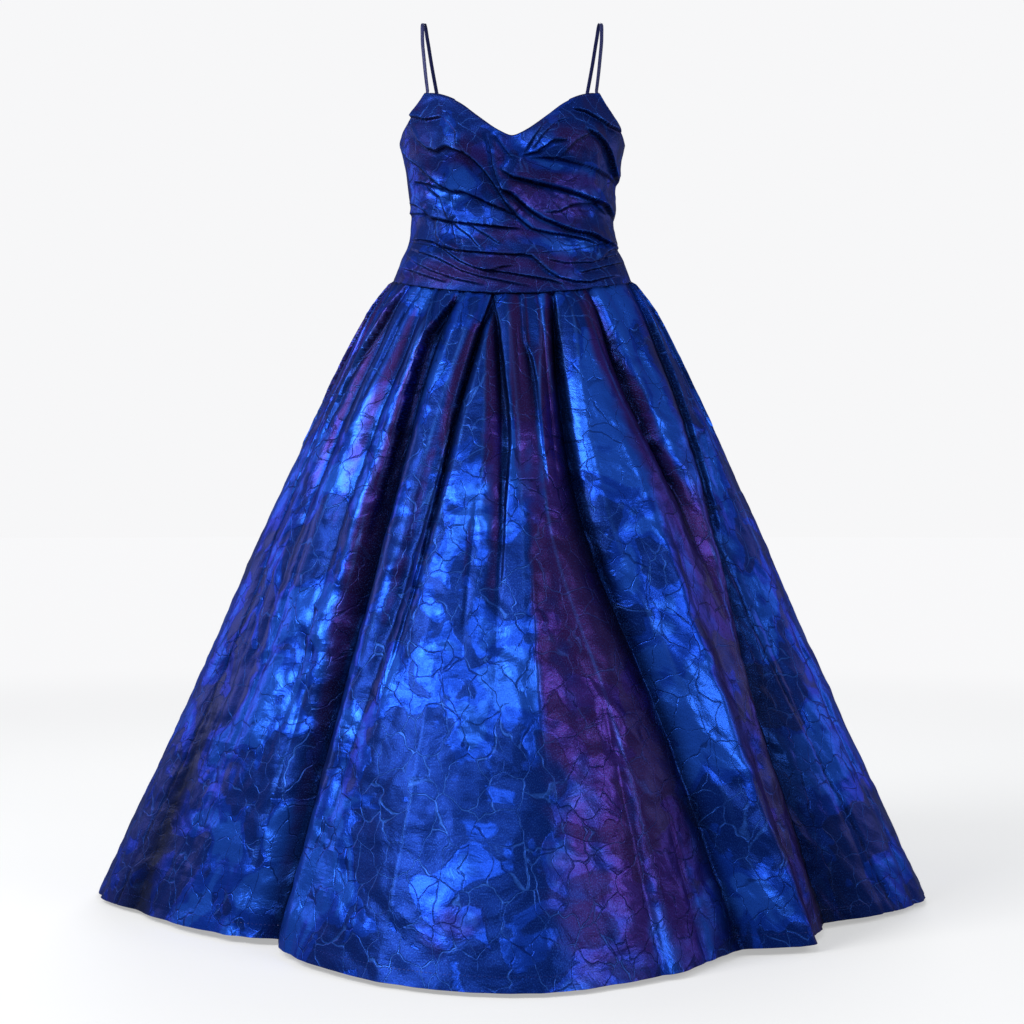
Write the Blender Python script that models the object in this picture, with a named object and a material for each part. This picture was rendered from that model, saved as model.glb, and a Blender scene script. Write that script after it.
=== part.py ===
"""Prom dress, filled out as it is when worn: a draped sweetheart bodice, a draped waistband, a full
pleated skirt in five panels, two spaghetti straps and a concealed zip at the centre back.

Metres, +Z up, the front faces -Y. The origin is on the shoulder line, midway between the tops of the
two straps, and everything hangs below it. "left" and "right" are the viewer's, facing the front.

Angles run round the body: 0 is the centre front, 90 the right side seam, 180 the centre back.
"""

import math
from collections import namedtuple

import bpy
import numpy as np

# Driving dimensions, in metres
HEIGHT = 1.2975
SEAM_GAP = 0.0003
SIDE_SEAM_RADIUS = 0.10
BACK_SEAM_RADIUS = 0.15
BODICE_WALL = 0.0018
SKIRT_WALL = 0.0016
WAIST_SIDE_Z = -0.3945
WAIST_FRONT_DIP = 0.026
BAND_TOP_SIDE_Z = -0.333
BAND_TOP_FRONT_DIP = 0.030
BACK_EDGE_Z = -0.1855
BACK_EDGE_DIP = 0.020
CORNER_DEG = 52.5
HEM_LIFT = 0.004
FRONT_PINCH = 0.18
BACK_PINCH = 0.05
STRAP_WIDTH = 0.0056
STRAP_THICKNESS = 0.0020
STRAP_SEWN_IN = 0.014
STRAP_RISE = 0.003
FACET_ALLOWANCE = 0.0004
ZIP_WIDTH = 0.012
ZIP_THICKNESS = 0.0012
ZIP_TOP_DROP = 0.004
ZIP_BODICE_ROWS = 10
ZIP_SKIRT_ROWS = 3

# The body form inside the bodice: level, half width, depth in front and behind
Level = namedtuple("Level", "z side front back")
TORSO = (
    Level(-0.100, 0.1580, 0.080, 0.078),
    Level(-0.124, 0.1630, 0.092, 0.084),
    Level(-0.155, 0.1670, 0.105, 0.090),
    Level(-0.186, 0.1670, 0.113, 0.094),
    Level(-0.213, 0.1605, 0.112, 0.095),
    Level(-0.249, 0.1540, 0.106, 0.092),
    Level(-0.285, 0.1505, 0.100, 0.089),
    Level(-0.303, 0.1495, 0.098, 0.089),
    Level(-0.321, 0.1510, 0.099, 0.091),
    Level(-0.339, 0.1555, 0.102, 0.093),
    Level(-0.357, 0.1635, 0.106, 0.096),
    Level(-0.375, 0.1705, 0.111, 0.099),
    Level(-0.395, 0.1785, 0.116, 0.102),
    Level(-0.430, 0.1890, 0.122, 0.107),
)

# The two cups: across from the centre, level, height off the form, and how far each spreads
CUP_X, CUP_Z, CUP_HEIGHT, CUP_SPREAD_X, CUP_SPREAD_Z = 0.076, -0.206, 0.019, 0.046, 0.044

# The front's top edge: angle from the centre front and level, to the corner where a strap is sewn
NECKLINE = (
    (0, -0.1955), (8, -0.1813), (16, -0.1630), (25, -0.1425), (32, -0.1317), (42, -0.1222), (52.5, -0.1185)
)
# and from that corner down the armhole to the side seam
ARMHOLE = ((52.5, -0.1185), (57, -0.1355), (62, -0.1495), (69, -0.1642), (77, -0.1750), (90, -0.1855))

# The skirt's outer size, by the share of the way from the waist seam to the hem
Ring = namedtuple("Ring", "share side front back")
SKIRT = (
    Ring(0.000, 0.183, 0.120, 0.105),
    Ring(0.030, 0.203, 0.141, 0.124),
    Ring(0.125, 0.249, 0.192, 0.176),
    Ring(0.320, 0.336, 0.292, 0.276),
    Ring(0.590, 0.445, 0.418, 0.405),
    Ring(1.000, 0.619, 0.622, 0.600),
)

# The skirt's folds: the angle of each groove down the skirt; its depth in mm (less than 0 stands out);
# and how many degrees it spreads to each side at the seam and at the hem
Fold = namedtuple("Fold", "name angle depth left right")
ANGLE_SHARES = (0.0, 0.12, 0.35, 0.65, 1.0)
DEPTH_SHARES = (0.0, 0.06, 0.23, 0.56, 1.0)
FOLDS = (
    Fold("back_left_deep", (-159, -159, -160, -161, -163), (4, 13, 24, 32, 46), (5, 7), (5, 9)),
    Fold("back_left_soft", (-139, -139, -138, -139, -142), (4, 12, 18, 22, 26), (5, 8), (5, 6)),
    Fold("back_left_seam", (-120, -119, -118, -118, -121), (4, 13, 26, 34, 50), (5, 9), (5, 6)),
    Fold("left_side", (-99, -98, -98, -99, -103), (3, 11, 14, 18, 26), (5, 5), (5, 8)),
    Fold("left_crease", (-76, -76, -73, -72, -73), (2, 8, 8, 10, 28), (3, 8), (4, 10)),
    Fold("left_pleat", (-57, -60, -62, -62, -63), (3, 12, 14, 9, 6), (4, 4), (4, 5)),
    Fold("left_gather", (-40, -43, -46, -48, -52), (3, 12, 14, 9, 4), (4, 5), (4, 5)),
    Fold("left_deep", (-26, -31, -34.3, -37.5, -40.5), (4, 17, 36, 44, 38), (5, 4.5), (4, 4)),
    Fold("front_left", (-10.2, -14.8, -19.8, -26.5, -32.5), (4, 16, 15, 12, 3), (3, 3), (2.5, 2.5)),
    Fold("front_centre", (-7, -4.2, -2.5, -2.8, -2.5), (4, 15, 14, 7, 0), (3, 3), (3, 3)),
    Fold("front_gather", (6, 6, 7, 9, 12), (3, 10, 8, 5, 8), (4, 5), (4, 7)),
    Fold("front_right", (19.5, 16.5, 16.8, 27.5, 35.5), (4, 19, 34, 34, 20), (4, 9), (4, 3)),
    Fold("right_flute", (27, 26, 33, 39, 45), (0, -4, -10, -24, -44), (6, 7), (6, 5)),
    Fold("right_pleat", (38, 39, 48, 52, 53), (3, 13, 22, 4, 0), (4, 3), (4, 3)),
    Fold("right_deep", (70, 68, 62.5, 58.5, 58.5), (3, 12, 18, 34, 34), (5, 4), (5, 14)),
    Fold("right_side", (94, 92, 91, 90, 88), (3, 11, 12, 10, 10), (5, 5), (5, 6)),
    Fold("back_right_seam", (118, 118, 117, 117, 119), (4, 13, 26, 34, 50), (5, 7), (5, 8)),
    Fold("back_right_soft", (138, 139, 140, 139, 140), (4, 12, 18, 20, 24), (5, 8), (5, 6)),
    Fold("back_right_deep", (158, 159, 160, 160, 161), (4, 13, 26, 34, 48), (5, 9), (5, 7)),
)
FOLD_SHARPNESS = 1.5

# The skirt's panels: each runs between two folds, or to the centre back
Panel = namedtuple("Panel", "name first last")
PANELS = (
    Panel("skirt_back_left", None, "back_left_seam"),
    Panel("skirt_side_left", "back_left_seam", "left_deep"),
    Panel("skirt_front", "left_deep", "right_deep"),
    Panel("skirt_side_right", "right_deep", "back_right_seam"),
    Panel("skirt_back_right", "back_right_seam", None),
)
SKIRT_ROW_SHARES = (0.0, 0.02, 0.055, 0.11, 0.18, 0.27, 0.37, 0.48, 0.60, 0.73, 0.86, 1.0)
DEGREES_PER_COLUMN = 2.3

# The drape's folds on the bodice and band, seen from the front, in mm across and up. The cloth on the
# upper or right-hand side of a line laps over the rest: height at the lip and how far it slopes back
Drape = namedtuple("Drape", "name height slope line")
DRAPES = (
    Drape("cup_left_top", 4.5, 14, ((-150, -176), (-125, -170), (-104, -166), (-88, -178), (-80, -202))),
    Drape("cup_left_mid", 4.5, 12, ((-146, -196), (-122, -203), (-96, -202), (-68, -214), (-40, -236))),
    Drape("cup_left_low", 5.5, 14, ((-160, -222), (-124, -236), (-90, -250), (-46, -262), (6, -312))),
    Drape("wrap_left", 5.5, 14, ((-158, -252), (-114, -274), (-66, -281), (-18, -300), (28, -323))),
    Drape("waist_left", 5.0, 13, ((-148, -312), (-115, -308), (-48, -316), (22, -323))),
    Drape("cup_right_top", 4.5, 14, ((84, -140), (112, -152), (134, -168), (158, -188))),
    Drape("cup_right_fan", 4.5, 12, ((26, -216), (52, -206), (88, -190), (118, -192))),
    Drape("cup_right_side", 6.0, 13, ((98, -168), (122, -186), (136, -212), (148, -256))),
    Drape("cup_right_low", 5.0, 13, ((36, -222), (66, -225), (112, -243), (151, -270))),
    Drape("wrap_upper", 7.0, 15, ((-24, -230), (2, -252), (27, -260), (70, -268), (110, -282), (144, -312))),
    Drape("wrap_lower", 6.5, 15, ((-22, -262), (9, -289), (38, -308), (110, -328), (150, -346))),
    Drape("band_top", 4.5, 10, ((-150, -362), (-96, -373), (-42, -389), (26, -408), (56, -416))),
    Drape("band_right", 4.5, 11, ((-42, -364), (20, -364), (58, -376), (108, -387), (160, -381))),
)
DRAPE_DROP = 4.0
# A fold fades to a share of its height over the first and last part of its length
DRAPE_END_LENGTH, DRAPE_END_HEIGHT = 0.15, 0.25

# The back's folds run across: the level and the height in mm of each
BACK_DRAPES = ((-0.232, 3.0), (-0.262, 3.0), (-0.292, 3.0), (-0.322, 2.5), (-0.352, 2.5), (-0.376, 2.5))
BACK_DRAPE_SLOPE, BACK_DRAPE_SAG = 0.013, 0.010
# The front's folds give way to the back's between these angles
DRAPE_CHANGE_FIRST, DRAPE_CHANGE_LAST = 80, 100

FRONT_COLUMNS = 54
FRONT_ROWS = 24
BAND_COLUMNS = 44
BAND_ROWS = 6
BACK_COLUMNS = 9
BACK_ROWS = 10
BACK_BAND_ROWS = 4
SHARP_DEG = 60


def clear_scene():
    for existing in list(bpy.data.objects):
        bpy.data.objects.remove(existing)


def smooth(x, xs, ys):
    """A smooth curve through the points (xs, ys), read at x."""
    xs, ys, x = np.asarray(xs, float), np.asarray(ys, float), np.asarray(x, float)
    slopes = np.gradient(ys, xs)
    x = np.clip(x, xs[0], xs[-1])
    i = np.clip(np.searchsorted(xs, x, side="right") - 1, 0, len(xs) - 2)
    step = xs[i + 1] - xs[i]
    t = (x - xs[i]) / step
    return (
        (2 * t**3 - 3 * t**2 + 1) * ys[i]
        + (t**3 - 2 * t**2 + t) * step * slopes[i]
        + (3 * t**2 - 2 * t**3) * ys[i + 1]
        + (t**3 - t**2) * step * slopes[i + 1]
    )


def column_of(rows, name):
    return [getattr(row, name) for row in rows]


def oval(angle, side, front, back):
    """A point on an oval that is as deep in front and behind as told, and its outward direction."""
    depth = np.where(np.cos(angle) > 0, front, back)
    x, y = side * np.sin(angle), -depth * np.cos(angle)
    out_x, out_y = np.sin(angle) / side, -np.cos(angle) / depth
    length = np.hypot(out_x, out_y)
    return x, y, out_x / length, out_y / length


def front_share(angle):
    """1 at the centre front, 0 from the side seams round the back."""
    return np.clip(np.cos(angle), 0, None) ** 2


def waist_level(angle):
    return WAIST_SIDE_Z - WAIST_FRONT_DIP * front_share(angle)


def band_top_level(angle):
    return BAND_TOP_SIDE_Z - BAND_TOP_FRONT_DIP * front_share(angle)


def top_level(angle):
    """The level of the bodice's top edge: neckline, armholes and straight back."""
    turned = np.degrees(np.abs(angle))
    neck = smooth(turned, *zip(*NECKLINE))
    arm = smooth(turned, *zip(*ARMHOLE))
    back = BACK_EDGE_Z - BACK_EDGE_DIP * np.sin(np.radians(np.clip(turned - 90, 0, 90))) ** 2
    return np.where(turned <= CORNER_DEG, neck, np.where(turned <= 90, arm, back))


def torso_point(angle, z, off=0.0):
    """A point on the body form, moved out by off."""
    levels = -np.array(column_of(TORSO, "z"))
    side, front, back = (smooth(-z, levels, column_of(TORSO, name)) for name in ("side", "front", "back"))
    x, y, out_x, out_y = oval(angle, side, front, back)
    for cup_x in (-CUP_X, CUP_X):
        near = np.exp(-(((x - cup_x) / CUP_SPREAD_X) ** 2) - ((z - CUP_Z) / CUP_SPREAD_Z) ** 2)
        off = off + np.where(np.cos(angle) > 0, CUP_HEIGHT * near * np.cos(angle), 0.0)
    return np.stack([x + out_x * off, y + out_y * off, z + 0 * x], axis=-1)


def drape_height(x, z, drape):
    """How far one fold of the drape stands off at a point seen from the front, in metres."""
    line = np.array(drape.line) / 1000.0
    lengths = np.linalg.norm(np.diff(line, axis=0), axis=1)
    starts = np.concatenate([[0.0], np.cumsum(lengths)])
    nearest = np.full(np.shape(x), np.inf)
    height = np.zeros(np.shape(x))
    for i, (a, b) in enumerate(zip(line[:-1], line[1:])):
        run = b - a
        t = np.clip(((x - a[0]) * run[0] + (z - a[1]) * run[1]) / (run @ run), 0, 1)
        away_x, away_z = x - a[0] - t * run[0], z - a[1] - t * run[1]
        away = np.hypot(away_x, away_z)
        above = run[0] * away_z - run[1] * away_x > 0
        along = (starts[i] + t * lengths[i]) / starts[-1]
        rise = np.sqrt(np.clip(np.minimum(along, 1 - along) / DRAPE_END_LENGTH, 0, 1))
        taper = DRAPE_END_HEIGHT + (1 - DRAPE_END_HEIGHT) * rise
        slope = np.where(above, drape.slope, DRAPE_DROP) / 1000.0
        here = drape.height / 1000.0 * np.exp(-away / slope) * taper
        height = np.where(away < nearest, here, height)
        nearest = np.minimum(nearest, away)
    return height


def drape(angle, z):
    """The height of all the drape's folds at a point of the bodice or band."""
    x = torso_point(angle, z)[..., 0]
    front = sum(drape_height(x, z, fold) for fold in DRAPES)
    sag = BACK_DRAPE_SAG * np.cos(angle)
    back = sum(
        height / 1000.0 * np.exp(-np.abs(z - level - sag) / BACK_DRAPE_SLOPE)
        for level, height in BACK_DRAPES
    )
    turned = np.abs(np.degrees(angle))
    behind = np.clip((turned - DRAPE_CHANGE_FIRST) / (DRAPE_CHANGE_LAST - DRAPE_CHANGE_FIRST), 0, 1)
    return front * (1 - behind) + back * behind


def skirt_fold_angle(fold, share):
    return smooth(share, ANGLE_SHARES, fold.angle)


def skirt_sink(degrees, share):
    """How far all the folds sink the skirt at a point, in metres."""
    sink = 0.0
    for fold in FOLDS:
        away = degrees - skirt_fold_angle(fold, share)
        away = (away + 180) % 360 - 180
        left = fold.left[0] + (fold.left[1] - fold.left[0]) * share
        right = fold.right[0] + (fold.right[1] - fold.right[0]) * share
        spread = np.where(away < 0, left, right)
        depth = smooth(share, DEPTH_SHARES, fold.depth) / 1000.0
        sink = sink + depth * np.exp(-np.abs(away / spread) ** FOLD_SHARPNESS)
    return sink


def hem_level(angle):
    """The hem is level but for a small lift between the front and the sides, and behind them."""
    return -HEIGHT + HEM_LIFT * np.sin(2 * angle) ** 2


def skirt_point(angle, share, off=0.0):
    """A point on the skirt's outer face, a share of the way from the waist seam to the hem."""
    top = waist_level(angle) - SEAM_GAP / 2
    z = top + (hem_level(angle) - top) * share
    side, front, back = (smooth(share, column_of(SKIRT, "share"), column_of(SKIRT, name))
                         for name in ("side", "front", "back"))
    pinch = np.where(np.cos(angle) > 0, FRONT_PINCH, BACK_PINCH) * share * np.sin(2 * angle) ** 2
    x, y, out_x, out_y = oval(angle, side * (1 - pinch), front * (1 - pinch), back * (1 - pinch))
    off = off - skirt_sink(np.degrees(angle), share)
    return np.stack([x + out_x * off, y + out_y * off, z + 0 * x], axis=-1)


def unit(vectors):
    return vectors / np.linalg.norm(vectors, axis=-1, keepdims=True)


def skirt_out(angle, share):
    """The outward direction of the skirt's face, folds included."""
    small_turn, small_drop = math.radians(0.4), 0.004
    around = skirt_point(angle + small_turn, share) - skirt_point(angle - small_turn, share)
    low, high = np.clip(share + small_drop, 0, 1), np.clip(share - small_drop, 0, 1)
    down = skirt_point(angle, low) - skirt_point(angle, high)
    return unit(np.cross(down, around))


def material(name, colour, roughness, metallic):
    made = bpy.data.materials.new(name)
    made.use_nodes = True
    shader = made.node_tree.nodes["Principled BSDF"]
    shader.inputs["Base Color"].default_value = (*colour, 1.0)
    shader.inputs["Roughness"].default_value = roughness
    shader.inputs["Metallic"].default_value = metallic
    return made


def add_object(name, points, faces, finish, shade_smooth=True):
    mesh = bpy.data.meshes.new(name)
    mesh.from_pydata([tuple(p) for p in points], [], faces)
    mesh.validate()
    if shade_smooth:
        mesh.shade_smooth()
        mesh.set_sharp_from_angle(angle=math.radians(SHARP_DEG))
    mesh.materials.append(finish)
    made = bpy.data.objects.new(name, mesh)
    bpy.context.scene.collection.objects.link(made)
    return made


def wall(name, outer, inner, finish):
    """A closed wall between two grids of points (rows down, columns across), seen from outside."""
    rows, columns = outer.shape[:2]
    count = rows * columns
    points = np.concatenate([outer.reshape(-1, 3), inner.reshape(-1, 3)])

    def at(row, column, layer=0):
        return layer * count + row * columns + column

    # Both faces of the wall are split along the same diagonals, so that they never cross in a twisted cell
    faces = []
    for r in range(rows - 1):
        for c in range(columns - 1):
            a, b, d, e = at(r, c), at(r + 1, c), at(r + 1, c + 1), at(r, c + 1)
            if np.linalg.norm(points[a] - points[d]) < np.linalg.norm(points[b] - points[e]):
                halves = ((a, b, d), (a, d, e))
            else:
                halves = ((a, b, e), (b, d, e))
            for half in halves:
                faces.append(half)
                faces.append(tuple(i + count for i in reversed(half)))
    low, far = rows - 1, columns - 1
    for c in range(columns - 1):
        faces.append((at(0, c), at(0, c + 1), at(0, c + 1, 1), at(0, c, 1)))
        faces.append((at(low, c + 1), at(low, c), at(low, c, 1), at(low, c + 1, 1)))
    for r in range(rows - 1):
        faces.append((at(r + 1, 0), at(r, 0), at(r, 0, 1), at(r + 1, 0, 1)))
        faces.append((at(r, far), at(r + 1, far), at(r + 1, far, 1), at(r, far, 1)))
    return add_object(name, points, faces, finish)


def torso_panel(name, angles, top, bottom, rows, finish):
    """A wall on the body form, between two level curves, with the drape raised in its outer face."""
    share = np.linspace(0, 1, rows + 1)[:, None]
    high = top(angles)[None, :]
    low = bottom(angles)[None, :]
    z = high + (low - high) * share
    angle = np.broadcast_to(angles[None, :], z.shape)
    inner = torso_point(angle, z)
    outer = torso_point(angle, z, BODICE_WALL + drape(angle, z))
    return wall(name, outer, inner, finish)


def front_angles(first, last, columns):
    """Columns from one side seam to the other, with one on each corner of the neckline."""
    angles = np.linspace(first, last, columns + 1)
    for corner in (-math.radians(CORNER_DEG), math.radians(CORNER_DEG)):
        angles[np.argmin(np.abs(angles - corner))] = corner
    return angles


def gap_angle(radius):
    return SEAM_GAP / 2 / radius


def front_ends():
    """The first and last angle of a front piece, just short of the side seams."""
    last = math.pi / 2 - gap_angle(SIDE_SEAM_RADIUS)
    return -last, last


def back_angles():
    """Columns of the right back piece, from the side seam to the centre back; the left is its mirror."""
    first = math.pi / 2 + gap_angle(SIDE_SEAM_RADIUS)
    last = math.pi - gap_angle(BACK_SEAM_RADIUS)
    return np.linspace(first, last, BACK_COLUMNS + 1)


def build_bodice(finish):
    """The front panel and the two back panels, from the top edge to the band."""
    def bottom(angle):
        return band_top_level(angle) + SEAM_GAP / 2

    front = front_angles(*front_ends(), FRONT_COLUMNS)
    torso_panel("bodice_front", front, top_level, bottom, FRONT_ROWS, finish)
    torso_panel("bodice_back_right", back_angles(), top_level, bottom, BACK_ROWS, finish)
    torso_panel("bodice_back_left", -back_angles()[::-1], top_level, bottom, BACK_ROWS, finish)


def build_waistband(finish):
    """The draped band between bodice and skirt, in a front and two back pieces."""
    def top(angle):
        return band_top_level(angle) - SEAM_GAP / 2

    def bottom(angle):
        return waist_level(angle) + SEAM_GAP / 2

    front = np.linspace(*front_ends(), BAND_COLUMNS + 1)
    torso_panel("waistband_front", front, top, bottom, BAND_ROWS, finish)
    torso_panel("waistband_back_right", back_angles(), top, bottom, BACK_BAND_ROWS, finish)
    torso_panel("waistband_back_left", -back_angles()[::-1], top, bottom, BACK_BAND_ROWS, finish)


def panel_columns(panel):
    """The folds that a skirt panel spans, as (fold or None, turn) from its first to its last edge."""
    names = column_of(FOLDS, "name")
    first = 0 if panel.first is None else names.index(panel.first)
    last = len(FOLDS) - 1 if panel.last is None else names.index(panel.last)
    marks = [skirt_fold_angle(FOLDS[i], 1.0) for i in range(first, last + 1)]
    stops = list(range(first, last + 1))
    if panel.first is None:
        stops, marks = [None, *stops], [-180.0, *marks]
    if panel.last is None:
        stops, marks = [*stops, None], [*marks, 180.0]
    return stops, marks


def panel_degrees(panel, shares):
    """Angles of a skirt panel's grid: columns run along the folds, and between them at even steps."""
    stops, marks = panel_columns(panel)
    lines = []
    for stop, mark in zip(stops, marks):
        lines.append(np.full(len(shares), mark) if stop is None else skirt_fold_angle(FOLDS[stop], shares))
    columns = []
    for i in range(len(lines) - 1):
        steps = max(3, round((marks[i + 1] - marks[i]) / DEGREES_PER_COLUMN))
        for step in range(steps):
            columns.append(lines[i] + (lines[i + 1] - lines[i]) * step / steps)
    columns.append(lines[-1])
    return np.stack(columns, axis=1)


def build_skirt(finish):
    """Five panels, seamed in the bottoms of folds and at the centre back."""
    shares = np.array(SKIRT_ROW_SHARES)
    radius = smooth(shares, column_of(SKIRT, "share"), column_of(SKIRT, "back"))
    for panel in PANELS:
        angle = np.radians(panel_degrees(panel, shares))
        angle[:, 0] += gap_angle(radius)
        angle[:, -1] -= gap_angle(radius)
        share = np.broadcast_to(shares[:, None], angle.shape)
        outer = skirt_point(angle, share)
        inner = outer - SKIRT_WALL * skirt_out(angle, share)
        inner[0, :, 2] = outer[0, :, 2]
        inner[-1, :, 2] = outer[-1, :, 2]
        wall(panel.name, outer, inner, finish)


def tube(name, path, across, width, thickness, finish, sides=6):
    """A closed flat tube along a path; across is the direction of its width at each point."""
    path, across = np.asarray(path), unit(np.asarray(across))
    ahead = unit(np.gradient(path, axis=0))
    across = unit(across - ahead * (across * ahead).sum(axis=1, keepdims=True))
    up = np.cross(ahead, across)
    turns = np.linspace(0, 2 * math.pi, sides, endpoint=False)
    rings = (
        path[:, None, :]
        + across[:, None, :] * (np.cos(turns) * width / 2)[None, :, None]
        + up[:, None, :] * (np.sin(turns) * thickness / 2)[None, :, None]
    )
    count = len(path)
    faces = [
        (r * sides + s, r * sides + (s + 1) % sides, (r + 1) * sides + (s + 1) % sides, (r + 1) * sides + s)
        for r in range(count - 1)
        for s in range(sides)
    ]
    faces.append(tuple(reversed(range(sides))))
    faces.append(tuple((count - 1) * sides + s for s in range(sides)))
    return add_object(name, rings.reshape(-1, 3), faces, finish)


# One strap's way over the shoulder, seen on the right side: across, front to back, level
STRAP_FREE = (
    (0.1262, -0.0535, -0.1000),
    (0.1300, -0.0400, -0.0660),
    (0.1335, -0.0190, -0.0270),
    (0.1332, -0.0050, -0.0040),
    (0.1315, 0.0040, -0.0020),
    (0.1275, 0.0170, -0.0230),
    (0.1222, 0.0340, -0.0560),
    (0.1145, 0.0530, -0.0980),
    (0.1045, 0.0690, -0.1500),
)
STRAP_FRONT_DEG = 50.8
STRAP_BACK_DEG = 144.5
STRAP_FREE_POINTS = 22


def inside_face(degrees, z, clearance):
    """A point inside the bodice, off its inner face, with the direction along the face."""
    angle, small_turn = math.radians(degrees), 0.01
    here = torso_point(np.array(angle), np.array(z), -clearance)
    ahead = torso_point(np.array(angle + small_turn), np.array(z))
    behind = torso_point(np.array(angle - small_turn), np.array(z))
    return here, unit(ahead - behind)


def strap_end(degrees, clearance):
    """The sewn-in end of a strap, from its tip up to the bodice's top edge and just above it."""
    edge = float(top_level(np.array(math.radians(degrees))))
    rises = (-STRAP_SEWN_IN, -STRAP_SEWN_IN / 2, 0.0, STRAP_RISE)
    return [inside_face(degrees, edge + rise, clearance) for rise in rises]


def build_straps(finish):
    """Each strap is sewn inside the front corner and inside the back's top edge."""
    clearance = SEAM_GAP + FACET_ALLOWANCE + STRAP_THICKNESS / 2
    front = strap_end(STRAP_FRONT_DEG, clearance)
    back = [(point, -along) for point, along in reversed(strap_end(STRAP_BACK_DEG, clearance))]
    route = np.array([front[-1][0], *STRAP_FREE, back[0][0]])
    run = np.concatenate([[0], np.cumsum(np.linalg.norm(np.diff(route, axis=0), axis=1))])
    even = np.linspace(0, run[-1], STRAP_FREE_POINTS)
    free = np.stack([smooth(even, run, route[:, k]) for k in range(3)], axis=1)
    free[:, 2] -= max(0.0, free[:, 2].max() + STRAP_THICKNESS / 2)
    share = (even / run[-1])[:, None]
    sideways = np.array((1.0, 0.0, 0.0))
    turned = np.where(
        share < 0.5,
        front[-1][1] * (1 - 2 * share) + sideways * 2 * share,
        sideways * (2 - 2 * share) + back[0][1] * (2 * share - 1),
    )
    path = np.concatenate([[p for p, _ in front[:-1]], free, [p for p, _ in back[1:]]])
    across = np.concatenate([[d for _, d in front[:-1]], turned, [d for _, d in back[1:]]])
    for name, side in (("strap_right", 1), ("strap_left", -1)):
        mirrored = np.array((side, 1, 1))
        tube(name, path * mirrored, across * mirrored, STRAP_WIDTH, STRAP_THICKNESS, finish)


def build_zip_tape(finish):
    """The closed concealed zip: a strip that backs the centre-back seam on the inside."""
    across = np.linspace(-ZIP_WIDTH / 2, ZIP_WIDTH / 2, 3)
    top = BACK_EDGE_Z - BACK_EDGE_DIP - ZIP_TOP_DROP
    just_below_waist = WAIST_SIDE_Z - 0.002
    rows = []
    for z in np.linspace(top, just_below_waist, ZIP_BODICE_ROWS):
        side = float(torso_point(np.array(math.pi / 2), np.array(z))[0])
        rows.append([torso_point(np.array(math.pi - x / side), np.array(z)) for x in across])
    for share in SKIRT_ROW_SHARES[1:ZIP_SKIRT_ROWS + 1]:
        side = float(smooth(share, column_of(SKIRT, "share"), column_of(SKIRT, "side")))
        angle = math.pi - across / side
        rows.append(skirt_point(angle, share) - SKIRT_WALL * skirt_out(angle, share))
    inward = np.array((0.0, -1.0, 0.0))
    outer = np.array(rows) + inward * (SEAM_GAP + FACET_ALLOWANCE)
    inner = outer + inward * ZIP_THICKNESS
    wall("zip_tape", outer[:, ::-1], inner[:, ::-1], finish)


def prism(name, outline, low_x, high_x, finish, place):
    """A plate from an outline of (out, up) points, between two places across, moved to its place."""
    count = len(outline)
    points = [(x, y, z) for x in (low_x, high_x) for y, z in outline]
    faces = [tuple(reversed(range(count))), tuple(range(count, 2 * count))]
    faces += [(i, (i + 1) % count, (i + 1) % count + count, i + count) for i in range(count)]
    made = add_object(name, points, faces, finish, shade_smooth=False)
    made.location = place
    return made


# The zip's slider and pull tab, in metres: body, ears, pin and tab
SLIDER_TOP_DROP = 0.006
SLIDER_WIDTH, SLIDER_DEPTH, SLIDER_LENGTH = 0.0060, 0.0018, 0.0080
EAR_WIDTH, EAR_GAP, EAR_RADIUS = 0.0010, 0.0030, 0.0013
PIN_RADIUS, PIN_OUT = 0.0006, 0.0024
TAB_THICKNESS, TAB_EYE_RADIUS, TAB_HOLE_RADIUS = 0.0012, 0.0016, 0.0009
TAB_LENGTH, TAB_WIDTH, TAB_NECK = 0.0150, 0.0056, 0.0022


def round_points(radius, centre_out, sides, first=0.0, last=2 * math.pi, closed=False):
    turns = np.linspace(first, last, sides, endpoint=closed)
    return [(centre_out + radius * math.cos(t), radius * math.sin(t)) for t in turns]


def union(target, *others):
    """Joins pieces that overlap into one body."""
    for other in others:
        joined = target.modifiers.new("join_" + other.name, "BOOLEAN")
        joined.operation = "UNION"
        joined.object = other
        other.hide_render = True
        other.display_type = "WIRE"


def slider_place():
    """The middle of the pin's axis, out from the back's face at the top of the centre-back seam."""
    level = BACK_EDGE_Z - BACK_EDGE_DIP - SLIDER_TOP_DROP
    ends = np.array((level, level - SLIDER_LENGTH))
    centre_back = np.full(2, math.pi)
    face = torso_point(centre_back, ends, BODICE_WALL + drape(centre_back, ends))[:, 1].max()
    return np.array((0.0, face + SEAM_GAP, level - SLIDER_LENGTH / 2))


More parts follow.
